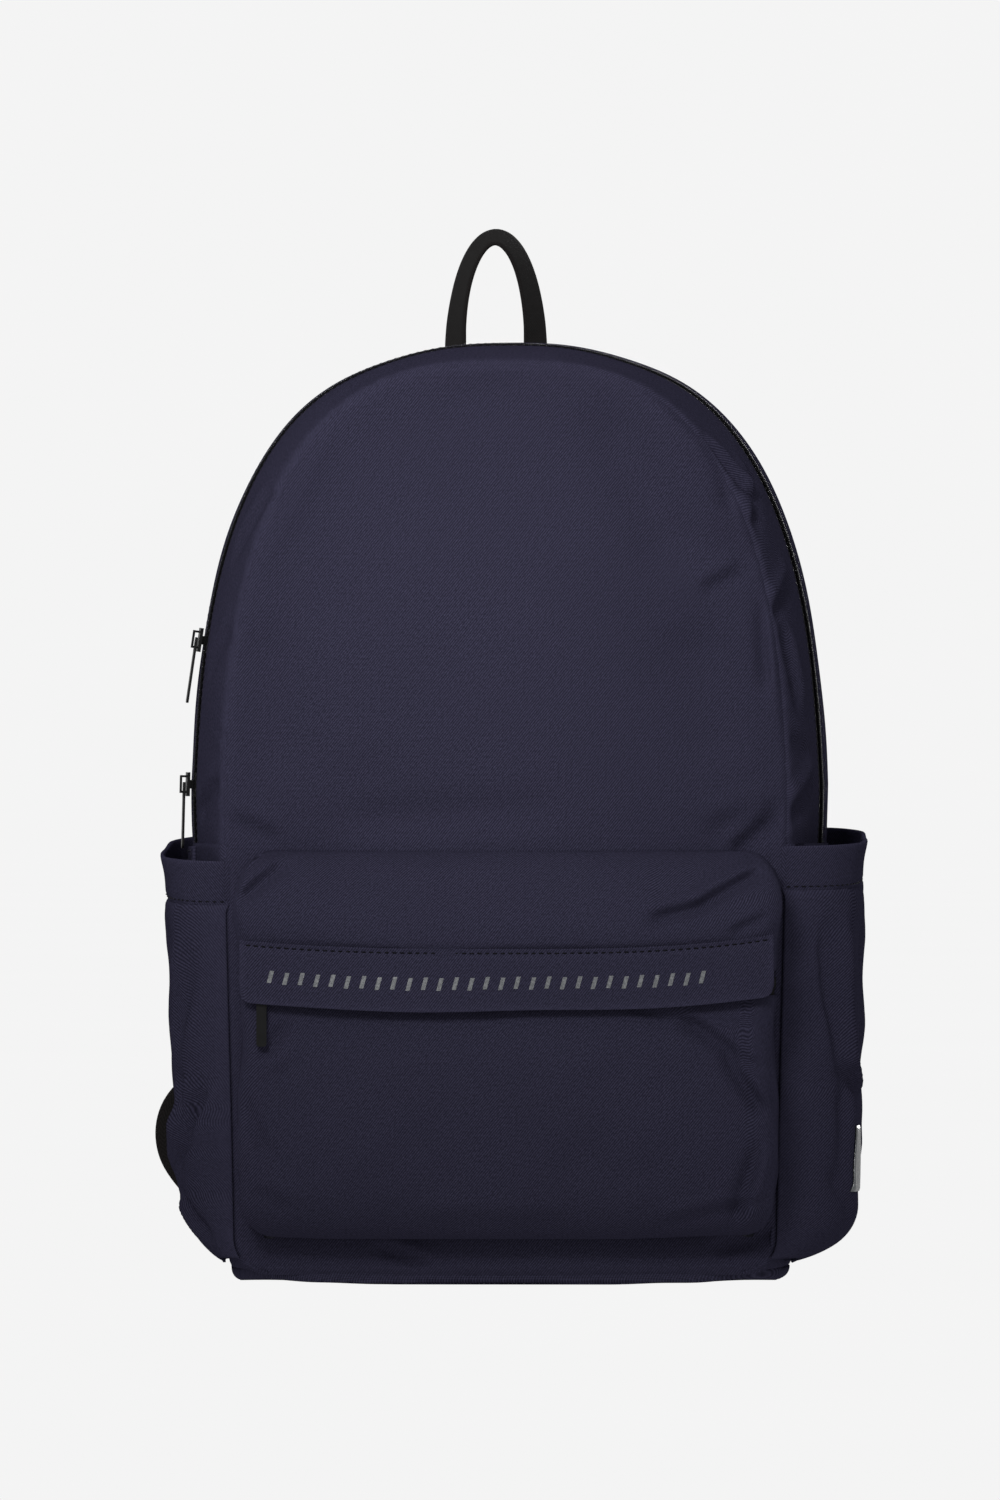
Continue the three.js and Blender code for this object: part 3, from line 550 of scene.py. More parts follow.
def webbing(name, colour, rib=1.5):
    """Heavy woven webbing: ribs across the band and a herringbone along it."""
    n = Nodes(name)
    place = n.place(True)
    u, v, _ = n.split(place)
    chevron = n.math("ADD", n.math("PINGPONG", u, 2.1 * MM), v)
    rows = n.wave(chevron, rib)
    strands = n.wave(u, 0.7)
    fine = n.noise(place, 0.6, 1)
    weave = n.math("MULTIPLY", n.math("MULTIPLY_ADD", strands, 0.4, n.math("MULTIPLY", rows, 0.6)),
                   n.math("ADD", fine, 0.5))
    n.bump(weave, 0.3, 0.6)
    base = n.tone(weave, scaled(colour, 0.55), scaled(colour, 1.7))
    worn = n.math("MULTIPLY", n.attribute("edge", "Fac"), 0.35)
    base = n.tone(worn, base, scaled(colour, 1.9))
    return n.finish(Base_Color=base, Roughness=0.8, Sheen_Weight=0.02, Specular_IOR_Level=0.1)


def air_mesh(name, colour):
    """Spacer mesh: round holes in a knitted face."""
    n = Nodes(name)
    place = n.place(True)
    u, v, _ = n.split(place)
    rising = n.wave(n.math("ADD", u, v), 3.0)
    falling = n.wave(n.math("SUBTRACT", u, v), 3.0)
    knit = n.noise(place, 0.5, 1)
    height = n.math("MINIMUM", n.math("MULTIPLY", n.math("MAXIMUM", rising, falling), 1.35), 1.0)
    base = n.tone(height, scaled(colour, 0.25), scaled(colour, 1.35))
    base = n.tone(n.math("MULTIPLY", knit, 0.4), base, scaled(colour, 0.8))
    n.bump(height, 0.6, 0.8)
    return n.finish(Base_Color=base, Roughness=0.85, Sheen_Weight=0.2, Specular_IOR_Level=0.2)


def plain_weave(name, colour, pitch=0.8, own=True, roughness=0.6):
    """Thin lining or tape: a plain weave with a fine grain."""
    n = Nodes(name)
    place = n.place(own)
    axes = n.split(place)
    u, v = axes[0], axes[1] if own else axes[2]
    weave = n.math("MULTIPLY", n.wave(u, pitch), n.wave(v, pitch))
    fine = n.noise(place, 1.5, 2)
    base = n.tone(weave, scaled(colour, 0.7), scaled(colour, 1.4))
    base = n.tone(n.math("MULTIPLY", fine, 0.4), base, scaled(colour, 0.75))
    n.bump(n.math("ADD", weave, fine), 0.12, 0.5)
    return n.finish(Base_Color=base, Roughness=roughness, Specular_IOR_Level=0.1)


def moulded(name, colour, roughness, grain=0.03, gloss=0.5):
    """Moulded plastic or painted metal with a fine grain and faint handling marks."""
    n = Nodes(name)
    place = n.place(False)
    fine = n.noise(place, 0.35, 2)
    marks = n.noise(place, 6, 4, 0.7)
    base = n.tone(marks, scaled(colour, 0.8), scaled(colour, 1.35))
    n.bump(fine, grain, 0.4)
    rough = n.math("MULTIPLY_ADD", marks, 0.2, roughness - 0.1)
    return n.finish(Base_Color=base, Roughness=rough, Specular_IOR_Level=gloss)


def soft_grain(name, colour, size, roughness=0.9, depth=0.4):
    """Foam, board or the fuzz of a hook-and-loop patch."""
    n = Nodes(name)
    place = n.place(False)
    grain = n.cells(place, size)
    base = n.tone(grain, scaled(colour, 0.6), scaled(colour, 1.4))
    n.bump(grain, depth, 0.8)
    return n.finish(Base_Color=base, Roughness=roughness)


def reflective(name):
    """Silver reflective film: a tiny honeycomb under a clear face."""
    n = Nodes(name)
    comb = n.cells(n.place(True), 0.9)
    base = n.tone(comb, linear(84, 86, 90), linear(132, 134, 136))
    n.bump(comb, 0.05, 0.5)
    return n.finish(Base_Color=base, Roughness=0.38, Metallic=0.35, Coat_Weight=0.3)


NAVY = linear(48.5, 47, 63.5)
BLACK = linear(24, 22, 22)
navy_twill = twill("navy_twill", NAVY)
navy_mesh = air_mesh("navy_air_mesh", scaled(NAVY, 0.9))
black_webbing = webbing("black_webbing", BLACK)
binding_tape = webbing("binding_tape", scaled(NAVY, 0.55), rib=1.0)
zip_cloth = plain_weave("zip_tape", linear(17, 16, 19), 0.7, roughness=0.85)
lining_cloth = plain_weave("lining", linear(40, 40, 50), 0.5)
thread = plain_weave("sewing_thread", linear(43, 41, 56), 0.4, own=False, roughness=0.5)
dark_thread = plain_weave("dark_sewing_thread", linear(17, 16, 23), 0.4, own=False, roughness=0.5)
coil_plastic = moulded("zip_coil", linear(13, 13, 15), 0.6, gloss=0.15)
black_metal = moulded("black_metal", linear(8, 8, 9), 0.32, 0.01, 0.25)
black_plastic = moulded("black_plastic", linear(24, 24, 25), 0.42)
foam_grain = soft_grain("closed_cell_foam", linear(80, 80, 84), 0.8)
board_grain = soft_grain("base_board", linear(50, 50, 52), 2.0, 0.6, 0.1)
hook_fuzz = soft_grain("hook_and_loop", linear(24, 24, 26), 0.7, 0.95, 0.5)
silver_film = reflective("reflective_film")


# ---------- camera, light and floor ----------
def make_camera():
    camera = bpy.data.objects.new("camera", bpy.data.cameras.new("camera"))
    bpy.context.scene.collection.objects.link(camera)
    camera.data.sensor_width = SENSOR
    camera.data.lens = SENSOR * CAMERA_DISTANCE / FRAME_HEIGHT
    camera.data.clip_end = 100
    azimuth = math.radians(CAMERA_AZIMUTH)
    target = Vector(CAMERA_TARGET)
    back = Vector((math.sin(azimuth), -math.cos(azimuth), 0))
    camera.location = target + back * CAMERA_DISTANCE
    camera.rotation_euler = (-back).to_track_quat("-Z", "Y").to_euler()
    bpy.context.scene.camera = camera


def add_lamp(name, kind, place, target, power):
    light = bpy.data.lights.new(name, kind)
    light.energy = power
    obj = bpy.data.objects.new(name, light)
    bpy.context.scene.collection.objects.link(obj)
    obj.location = place
    obj.rotation_euler = (Vector(target) - Vector(place)).to_track_quat("-Z", "Y").to_euler()
    return light


def make_lights():
    """A soft lamp that is brightest on the upper front, and a wide one behind the bag."""
    key = add_lamp("key", "SPOT", KEY_PLACE, KEY_TARGET, KEY_POWER)
    key.shadow_soft_size = KEY_SIZE
    key.spot_size = math.radians(KEY_ANGLE)
    key.spot_blend = 1.0
    back_lamp = add_lamp("back", "AREA", BACK_PLACE, BACK_TARGET, BACK_POWER)
    back_lamp.size = BACK_SIZE


# the floor and the backdrop behind it, as rings of (radius, height)
STAGE_RINGS = [(1, 0), (36000, 0), (38500, 500), (39600, 2800), (39600, 36000), (1, 36000)]
STAGE_SIDES = 64


def make_stage():
    world = bpy.data.worlds.new("studio")
    bpy.context.scene.world = world
    world.use_nodes = True
    background = world.node_tree.nodes["Background"]
    background.inputs["Color"].default_value = (AMBIENT, AMBIENT, AMBIENT, 1)
    turn = np.linspace(0, 2 * math.pi, STAGE_SIDES + 1)[:-1]
    points = [[r * math.cos(a), r * math.sin(a), z] for r, z in STAGE_RINGS for a in turn]
    faces = grid_faces(len(STAGE_RINGS), STAGE_SIDES, True)
    backdrop = make_object("floor_and_backdrop", points, faces, pale_studio())
    backdrop.visible_diffuse = False
    backdrop.visible_glossy = False
    backdrop.visible_shadow = False
    make_lights()
    bpy.context.scene.view_settings.view_transform = "Standard"


def pale_studio():
    """The pale floor and the backdrop that it curves up into."""
    n = Nodes("pale_studio")
    grain = n.noise(n.place(False), 900, 2)
    base = n.tone(grain, (0.9, 0.9, 0.9), (0.91, 0.91, 0.91))
    return n.finish(Base_Color=(0, 0, 0, 1), Roughness=1.0, Emission_Color=base, Emission_Strength=1.0,
                    Specular_IOR_Level=0.0)


# ---------- how pieces hang on the frame ----------
def on_body(obj, body, slot, *nodes):
    """A piece that moves with one body, in place of the CAD nodes named."""
    if nodes:
        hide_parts(*nodes)
    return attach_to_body(obj, body)


def lid_piece(obj, slot, *nodes):
    """A piece fixed where it stands, with its place baked into its mesh, in place of the CAD nodes named."""
    if nodes:
        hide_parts(*nodes)
    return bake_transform(obj)


# ---------- main compartment ----------
WALL_COLUMNS = 260  # points round the arch
SEAM_DEPTH, SEAM_REACH = 3.4, 1.7

# folds on the front panel: start and end as (x, z), width, depth
FRONT_FOLDS = [
    ((-84, 398), (-118, 330), 5.0, 0.9),
    ((24, 217), (-78, 212), 9.0, 0.9),
    ((90, 316), (108, 325), 3.5, 1.3),
    ((97, 388), (104, 350), 4.5, 1.5),
    ((117, 312), (119, 270), 4.0, 1.5),
    ((104, 197), (123, 212), 4.0, 1.9),
    ((92, 206), (128, 216), 6.0, 0.9),
    ((44, 400), (80, 326), 16.0, 2.0),
    ((84, 300), (104, 240), 18.0, 1.3),
    ((-112, 300), (-98, 230), 20.0, 1.2),
    ((-30, 404), (12, 410), 8.0, 0.5),
    ((-126, 212), (-104, 203), 4.0, 1.0),
    ((-58, 17), (-34, 8), 3.5, 1.4),
    ((96, 16), (124, 24), 4.0, 1.5),
]

# folds on the side walls above the pockets: start and end as (y, z), width, depth
RIGHT_WALL_FOLDS = [
    ((-62, 386), (-50, 352), 3.0, 1.6),
    ((-60, 345), (-34, 372), 4.0, 1.5),
    ((-62, 306), (-32, 324), 4.0, 1.7),
    ((-56, 300), (-50, 262), 4.0, 1.5),
    ((-60, 214), (-30, 232), 5.0, 1.8),
    ((-60, 250), (-38, 240), 4.0, 0.8),
]
LEFT_WALL_FOLDS = [
    ((-60, 362), (-40, 330), 5.0, 0.9),
    ((-60, 300), (-36, 278), 5.0, 0.8),
    ((-60, 230), (-34, 214), 4.0, 1.2),
]


def seam_dip(margin):
    """Cloth turns inwards where it is sewn to the next panel."""
    return SEAM_DEPTH * np.exp(-((margin / SEAM_REACH) ** 1.5))


def front_panel():
    outline = closed_outline(FRONT_Y, WALL_BOTTOM - 1.5, 330)
    shares = 1 - crowded(0, 1, 76, 0.35) ** 1.35
    shares[-1] = 0.002

    def depth(x, z, margin):
        angle = np.arctan2(z - 210, x) * 190
        puff = 1.2 * (1 - np.exp(-margin / 9)) + 4.6 * smooth(margin / 95)
        relief = folds(x, z, FRONT_FOLDS, 2.6) * smooth(margin / 5)
        relief = relief + 1.1 * ripple(x, z, 110, 1) * smooth(margin / 30)
        relief += 0.22 * pucker(angle, margin, 11, 2)
        return FRONT_Y - crown(x, z) - puff - relief + seam_dip(margin) + 0.6

    obj = disc("front_panel", outline, shares, depth, navy_twill, lining=lining_cloth)
    lid_piece(obj, "navy_fabric", "front_panel_lower", "front_panel_upper")


def wall_relief(points, margin_front, margin_back, seed):
    """What the arched walls do besides their plain shape, along their normals."""
    x, y, z = points[..., 0], points[..., 1], points[..., 2]
    along = cloth_lengths(points)[..., 0]
    margin = np.minimum(margin_front, margin_back)
    relief = 0.5 * (1 - np.exp(-margin / 7)) + 0.35 * ripple(along, y, 60, seed) * smooth(margin / 8)
    relief += 0.34 * pucker(along, margin_front, 10, seed + 1)
    fade = smooth(margin / 4)
    right, left = folds(y, z, RIGHT_WALL_FOLDS, 2.3), folds(y, z, LEFT_WALL_FOLDS, 2.3)
    relief += fade * np.where(x > 0, right, left)
    return relief - seam_dip(margin_front) - 0.5


def arch_wall(name, seam_y, zip_y, rows, seed):
    """A band of the arched wall between its seam and the zip, above the fold, and its grid of points."""
    depths = crowded(*sorted((seam_y, zip_y)), rows, 0.7)
    lines = [arch_line(y, FOLD_Z - 1, WALL_COLUMNS) for y in depths]
    points = np.stack([np.insert(line, 1, y, axis=1) for line, y in zip(lines, depths)])
    to_seam = np.abs(depths - seam_y)[:, None] + np.zeros(WALL_COLUMNS)
    to_zip = np.abs(depths - zip_y)[:, None] + np.zeros(WALL_COLUMNS)
    relief = wall_relief(points, to_seam, to_zip, seed)[..., None]
    points = points + surface_normals(points, BAG_MIDDLE) * relief
    edge = np.exp(-to_seam / 3) + 0.5 * np.exp(-to_zip / 2)
    return sheet(name, points, navy_twill, BAG_MIDDLE, edge=edge, lining=lining_cloth), points


def row_at(points, y):
    """The line of a band's grid nearest one depth, with its normals."""
    middle = points.shape[1] // 2
    row = int(np.argmin(np.abs(points[:, middle, 1] - y)))
    return points[row], surface_normals(points, BAG_MIDDLE)[row]


def gussets():
    front_edge = ZIP_Y - TAPE_SLOT - TAPE_WIDTH - 0.2
    front, points = arch_wall("gusset_front", FRONT_Y, front_edge, 30, 11)
    lid_piece(front, "navy_fabric", "gusset_front")
    lid_piece(stitches("gusset_front_stitch", *row_at(points, front_edge - 2.2), thread), "navy_fabric")
    rear_edge = ZIP_Y + TAPE_SLOT + TAPE_WIDTH + 0.2
    rear, points = arch_wall("gusset_rear", WALL_BACK, rear_edge, 34, 21)
    on_body(rear, "bag", "navy_fabric", "gusset_rear")
    for name, y in (("gusset_rear_stitch", rear_edge + 2.2), ("back_seam_stitch", WALL_BACK - 5)):
        row = stitches(name, *row_at(points, y), thread)
        on_body(row, "bag", "navy_fabric")


def side_panels():
    for name, side in (("left", -1), ("right", 1)):
        depths = crowded(FRONT_Y, WALL_BACK, 46, 0.6)
        heights = crowded(WALL_BOTTOM - 1, FOLD_Z + 1, 60, 0.3)
        y, z = np.meshgrid(depths, heights)
        margin = np.minimum(np.minimum(y - FRONT_Y, WALL_BACK - y), z - WALL_BOTTOM + 1)
        bulge = 0.9 * (1 - np.exp(-margin / 7)) + 0.6 * ripple(y, z, 50, 31 + side) * smooth(margin / 12)
        bulge -= seam_dip(margin) + 0.5
        bulge += 0.22 * pucker(z, np.abs(y - FRONT_Y), 10, 33 + side)
        points = np.stack([side * (wall_width(z, y) + bulge), y, z], axis=2)
        obj = sheet(f"side_panel_{name}_cloth", points, navy_twill, BAG_MIDDLE, edge=np.exp(-margin / 3),
                    lining=lining_cloth)
        on_body(obj, "bag", "navy_fabric", f"side_panel_{name}")


BASE_POWER = 7.0  # of the rounded rectangle seen from above
BASE_CORNER_RISE = 13  # of the innermost ring, behind the corners of the walls
BASE_WORN_ROWS = slice(4, 10)
FLOOR_GAP = 0.05


def base_outline(inset, count):
    """The base seen from above: straight sides, a slight bow in front and rounded corners."""
    angle = np.linspace(0, 2 * math.pi, 721)[:-1]
    cos, sin = np.cos(angle), np.sin(angle)
    y = np.sign(sin) * np.abs(sin) ** (2 / BASE_POWER) * (BACK_Y - FRONT_Y) / 2 + (BACK_Y + FRONT_Y) / 2
    x = np.sign(cos) * np.abs(cos) ** (2 / BASE_POWER) * (wall_width(6.5, y) - 0.3)
    outline = np.stack([x, y], axis=1)
    drawn_in = outline - inset * unit(outline)
    return even(np.concatenate([drawn_in, drawn_in[:1]]), count + 1)[:-1]


def base_ring(inset, height, share=1.0):
    return np.insert(base_outline(inset, WALL_COLUMNS) * share, 2, height, axis=1)


def base():
    """The bottom: a rolled edge above a flat face that lifts a little at its corners."""
    rings = [base_ring(0, 0.0, share) for share in np.linspace(0.02, 0.97, 26)]
    for turn in np.linspace(0.15, 1, 9) * math.pi / 2:
        rings.append(base_ring(5.0 * (1 - math.sin(turn)), 5.6 * (1 - math.cos(turn))))
    rings.append(base_ring(2.5, 6.4))
    inner = base_ring(3.5, 7.0)
    at_corner = smooth((np.abs(inner[:, 0]) - 88) / 14) * smooth((np.abs(inner[:, 1]) - 35) / 14)
    inner[:, 2] += BASE_CORNER_RISE * at_corner
    rings.append(inner)
    points = np.stack(rings[::-1])
    x, y = np.abs(points[..., 0]), np.abs(points[..., 1])
    points[..., 2] += 0.8 * smooth((x - 40) / 60) + 1.6 * smooth((x - 85) / 30) * smooth((y - 25) / 38)
    swell = 1 + ripple(points[..., 0], points[..., 1], 40, 41)
    points[..., 2] += 0.25 * swell * smooth(points[..., 2] / 0.5)
    points[..., 2] = np.maximum(points[..., 2], FLOOR_GAP)
    flat = points[..., :2].copy()
    flat[..., 1] += points[..., 2]
    edge = np.zeros(points.shape[:2])
    edge[BASE_WORN_ROWS] = 0.5
    obj = sheet("base_cloth", points, navy_twill, (0, 0, 60), True, flat, edge, 1.4, lining_cloth, True)
    on_body(obj, "bag", "navy_fabric", "base_panel")


# ---------- zips ----------
TAPE_REACH = TAPE_SLOT + TAPE_WIDTH + 2.5  # the outer edge lies hidden under the cloth
TAPE_GAP = 0.4


def zip_tapes():
    """The two tapes of the main zip, a little below the cloth beside them."""
    spans = {
        "main_zip_tape_front": (ZIP_Y - TAPE_REACH, ZIP_Y - TAPE_GAP),
        "main_zip_tape_rear": (ZIP_Y + TAPE_GAP, ZIP_Y + TAPE_REACH),
    }
    for name, (from_y, to_y) in spans.items():
        depths = np.linspace(from_y, to_y, 8)
        lines = [arch_line(y, FOLD_Z - 6, WALL_COLUMNS, 1.1) for y in depths]
        points = np.stack([np.insert(line, 1, y, axis=1) for line, y in zip(lines, depths)])
        obj = sheet(f"{name}_cloth", points, zip_cloth, BAG_MIDDLE, thickness=0.6)
        if name.endswith("front"):
            lid_piece(obj, "zip_tape", name)
        else:
            on_body(obj, "bag", "zip_tape", name)


# a zip tooth, from its root to its rounded head: station, rise, width and height
TOOTH = [(-2.3, -0.5, 0.34, 0.55), (-0.2, -0.5, 0.42, 0.75), (1.0, -0.5, 0.48, 0.7), (1.5, -0.5, 0.28, 0.7)]


def coil_row(name, line, out, across, phase, pitch=1.7):
    """One side of a zip's coil: a rounded tooth at every turn."""
    count = int(np.linalg.norm(np.diff(line, axis=0), axis=1).sum() / pitch)
    path = even(np.concatenate([line, out, across], axis=1), count * 2 + 2)[phase::2]
    at, up, aside = path[:, :3], path[:, 3:6], path[:, 6:9]
    return beads(name, zip(at, aside, np.cross(up, aside), up), TOOTH, coil_plastic)


def main_coils():
    y = ZIP_Y
    near, far = arch_line(y - 1, FOLD_Z, 800), arch_line(y + 1, FOLD_Z, 800)
    line = np.insert(arch_line(y, FOLD_Z, 800), 1, y, axis=1)
    tangent = np.gradient(line, axis=0)
    aside = unit(np.insert(far - near, 1, 2.0, axis=1))
    out = unit(np.cross(aside, tangent))
    if (out * (line - BAG_MIDDLE)).sum() < 0:
        out = -out
    lid_piece(coil_row("main_zip_coil_front", line, out, aside, 0), "zip_tape")
    on_body(coil_row("main_zip_coil_rear", line, out, -aside, 1), "bag", "zip_tape")


# ---------- front pocket ----------
# folds on the pocket's face: start and end as (x, z), width, depth
POCKET_FOLDS = [
    ((80, 124), (117, 98), 4.0, 2.4),
    ((100, 106), (119, 78), 3.5, 2.2),
    ((52, 130), (92, 116), 4.0, 1.0),
    ((-97, 119), (-110, 104), 4.0, 1.5),
    ((116, 66), (104, 22), 4.0, 1.7),
    ((70, 24), (118, 34), 3.5, 0.9),
    ((-118, 86), (-108, 60), 4.0, 1.2),
    ((-112, 42), (-98, 30), 5.0, 0.9),
    ((-40, 26), (30, 25), 5.0, 0.5),
    ((20, 60), (80, 48), 14.0, 0.6),
]
UPPER_POCKET_FOLDS = [
    ((66, 168), (92, 173), 3.5, 1.7),
    ((88, 172), (117, 188), 3.5, 2.1),
    ((-121, 174), (-98, 193), 3.5, 1.9),
    ((-60, 176), (10, 180), 9.0, 0.6),
    ((103, 160), (120, 166), 3.0, 0.8),
]


def flap_top(share):
    """The height of the flap's sewn edge: it hangs lowest in the middle."""
    lift = np.where(share < 0, FLAP_RISE_LEFT, FLAP_RISE_RIGHT)
    return FLAP_TOP + lift * np.abs(share) ** 3


def pocket_reach(z):
    """The share of its full depth that the pocket has at one height."""
    low = np.clip((BELLY_Z - z) / (BELLY_Z - POCKET_BOTTOM), 0, 1)
    high = np.clip((z - SHOULDER_Z) / (POCKET_TOP - SHOULDER_Z), 0, 1)
    return (1 - 0.85 * low**3) ** 0.5 * (1 - 0.93 * high**2.4) ** 0.6


def pocket_half(z):
    """Half the pocket's width at one height, with its rounded corners."""
    radius = POCKET_CORNER
    depth = np.clip(np.maximum(POCKET_BOTTOM + radius - z, z - (POCKET_TOP - radius)), 0, radius)
    return POCKET_HALF - (radius - np.sqrt(radius**2 - depth**2)) * 0.8


def pocket_stations():
    """Where a level's columns stand: a share across the front, a share of the way out, and a turn."""
    side = np.linspace(0, 1 - POCKET_TURN, 12)[:-1]
    turn = np.linspace(0, math.pi / 2, 12)
    flat = crowded(-1, 1, 96, 0.4)[1:-1]
    return side, turn, flat


def pocket_level(z, reach, bulge, inset=0.0, lean=0.0):
    """One level of the pocket from the wall on the left round the front to the wall on the right."""
    side, turn, flat = pocket_stations()
    half = pocket_half(z) - inset + lean
    radius = POCKET_TURN * (FRONT_Y - POCKET_FRONT) * max(reach, 0.02)
    corner_x = radius * (1 - np.cos(turn))
    x_left = np.concatenate([np.full(len(side), -half), -half + corner_x])
    out_left = np.concatenate([side, 1 - POCKET_TURN + POCKET_TURN * np.sin(turn)])
    x = np.concatenate([x_left, flat * (half - radius), -x_left[::-1]])
    out = np.concatenate([out_left, np.ones(len(flat)), out_left[::-1]])
    wall = FRONT_Y - crown(x, z) - 0.8
    front = mix(wall, POCKET_FRONT, reach) + inset
    crowned = bulge * (1 - np.clip(np.abs(x) / half, 0, 1) ** 2.2)
    y = mix(wall, front - crowned, out)
    return np.stack([x + POCKET_MIDDLE, y, np.full(len(x), float(z))], axis=1), out


def pocket_lean(z):
    """How the pocket's two sides swell and draw in with the height."""
    return 2.6 * bell(z, 172, 14) - 1.6 * bell(z, 112, 14) + 0.8 * bell(z, 70, 26) - 1.2 * bell(z, 36, 12)


def pocket_shell(name, levels, bulge_at, fold_table, seed, shift, inside):
    """A pocket piece through a list of (height, reach) levels, with room for the hanging pull."""
    rows = [pocket_level(z, reach, bulge_at(z), lean=pocket_lean(z)) for z, reach in levels]
    points = np.stack([row[0] for row in rows])
    out = np.stack([row[1] for row in rows])
    x, z = points[..., 0].copy(), points[..., 2].copy()
    reach = np.array([level[1] for level in levels])[:, None]
    face = smooth((out - 0.8) / 0.2) * smooth(reach / 0.7)
    relief = folds(x, z, fold_table, 2.3) + 0.8 * ripple(x, z, 70, seed)
    relief = relief + 0.35 * ripple(x, z, 24, seed + 1)
    room = smooth((z - 100) / 10) * smooth((146 - z) / 4)
    points[..., 1] -= mix(relief, np.minimum(relief, -0.2), room) * face
    points[..., 0] += np.sign(x) * 0.5 * ripple(out * 60, z, 34, seed + 2) * (1 - face) * smooth(out / 0.3)
    points[..., 2] += shift(x, z)
    edge = bell(out, 0.8, 0.07) * 0.6 + np.exp(-np.abs(out) * 20)
    return sheet(name, points, navy_twill, inside, edge=edge, lining=lining_cloth)


def pocket_lower():
    top = POCKET_ZIP_Z - 5.6
    low = [(POCKET_BOTTOM + 0.5, 0.02), (POCKET_BOTTOM + 0.1, 0.15), (POCKET_BOTTOM, 0.3)]
    heights = np.concatenate([crowded(POCKET_BOTTOM + 0.3, 40, 16, 0.3), np.linspace(42, top, 44)])
    levels = low + [(z, float(pocket_reach(z))) for z in heights]

    def bulge(z):
        return 3.4 * smooth((z - 22) / 45) * (1 - smooth((z - 100) / 30))

    def sag(x, z):
        lift = 2.0 * smooth((x - 40) / 80) + 1.2 * smooth((-x - 70) / 50)
        return (lift + 2.6) * smooth((60 - z) / 30)

    obj = pocket_shell("pocket_lower_cloth", levels, bulge, POCKET_FOLDS, 51, sag, (0, -60, 90))
    on_body(obj, "bag", "navy_fabric", "pocket_lower")


def pocket_upper():
    bottom = POCKET_ZIP_Z + 5.8
    heights = np.concatenate([np.linspace(bottom, 170, 26), crowded(171, POCKET_TOP - 0.4, 26, 0.4)])
    levels = [(z, float(pocket_reach(z))) for z in heights]
    levels += [(POCKET_TOP - 0.1, 0.1), (POCKET_TOP, 0.02)]

    def bulge(z):
        seam = 5.2 * smooth((z - 147) / 9)
        groove = 1.3 * bell(z, 156.5, 1.6)
        return (seam - groove) * (1 - smooth((z - 160) / 34)) + 1.6 * bell(z, 170, 12)

    def sag(x, z):
        share = np.clip(np.abs(x) / POCKET_HALF, 0, 1) * np.sign(x)
        follow = smooth((z - bottom) / 10) * (1 - smooth((z - 158) / 34))
        return (flap_top(share) - 156.5) * follow

    obj = pocket_shell("pocket_upper_cloth", levels, bulge, UPPER_POCKET_FOLDS, 61, sag, (0, -60, 170))
    on_body(obj, "bag", "navy_fabric", "pocket_upper")


def pocket_zip():
    """The pocket's zip tapes and coil, hidden under the flap until it lifts."""
    spans = {"pocket_zip_tape_lower": (POCKET_ZIP_Z - 7.6, POCKET_ZIP_Z - 0.3),
             "pocket_zip_tape_upper": (POCKET_ZIP_Z + 0.3, POCKET_ZIP_Z + 7.6)}
    for name, (low, high) in spans.items():
        levels = [pocket_level(z, 1.0, 0, 1.0)[0] for z in np.linspace(low, high, 7)]
        obj = sheet(f"{name}_cloth", np.stack(levels), zip_cloth, (0, -60, 138), thickness=0.6)
        on_body(obj, "bag", "zip_tape", name)
    line = pocket_level(POCKET_ZIP_Z, 1.0, 0, 0.4)[0]
    tangent = np.gradient(line, axis=0)
    up = np.tile([0.0, 0.0, 1.0], (len(line), 1))
    out = unit(np.cross(tangent, up))
    out = out if (out[:, 1].sum() < 0) else -out
    for name, aside, phase in (("pocket_zip_coil_lower", up, 0), ("pocket_zip_coil_upper", -up, 1)):
        row = coil_row(name, line, out, aside, phase, 1.5)
        on_body(row, "bag", "zip_tape")


def flap_point(x, drop):
    """A point of the storm flap: drop is the distance below its sewn edge."""
    share = (x - POCKET_MIDDLE) / 121
    y = FLAP_FRONT + 2.6 * np.abs(share) ** 14 + 0.8 * smooth(1 - drop / 5) + 0.45 * ripple(x, drop, 80, 71)
    y -= 0.9 * smooth(drop / FLAP_DROP) * bell(x, -60, 50) - 0.6 * bell(drop, FLAP_STITCH, 0.9)
    z = flap_top(share) - drop + 0.5 * ripple(x, 0 * x, 120, 72) * drop / FLAP_DROP
    return np.stack([x + 0 * drop, y, z], axis=-1)


def storm_flap():
    across, down = crowded(-FLAP_HALF, FLAP_HALF, 130, 0.4), crowded(-0.6, FLAP_DROP, 22, 0.5)
    reach, drop = np.meshgrid(across, down)
    x = reach + POCKET_MIDDLE
    rise = np.clip(np.abs(reach) - (FLAP_HALF - FLAP_ROUND), 0, FLAP_ROUND)
    lift = (FLAP_ROUND - np.sqrt(FLAP_ROUND**2 - rise**2)) * smooth((drop - FLAP_DROP + 9) / 9)
    points = flap_point(x, drop - lift)
    margin = np.minimum(FLAP_DROP - drop, FLAP_HALF - np.abs(reach))
    cloth = np.stack([x, -drop], axis=2)
    obj = sheet("storm_flap_cloth", points, navy_twill, (0, 0, 143), cloth=cloth,
                edge=np.exp(-margin / 1.6), thickness=1.2)
    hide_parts("storm_flap")
    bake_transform(obj)
    line_x = np.linspace(-119, 119, 200) + POCKET_MIDDLE
    line = flap_point(line_x, np.full(200, FLAP_STITCH))
    line[:, 1] -= 0.1
    forward = np.tile([0.0, -1.0, 0.0], (200, 1))
    row = stitches("storm_flap_stitch", line, forward, dark_thread, 3.5, 2.5, 0.42)
    on_body(row, "bag", "navy_fabric")
    bars = on_body(flap_bars(), "storm_flap", "reflective")


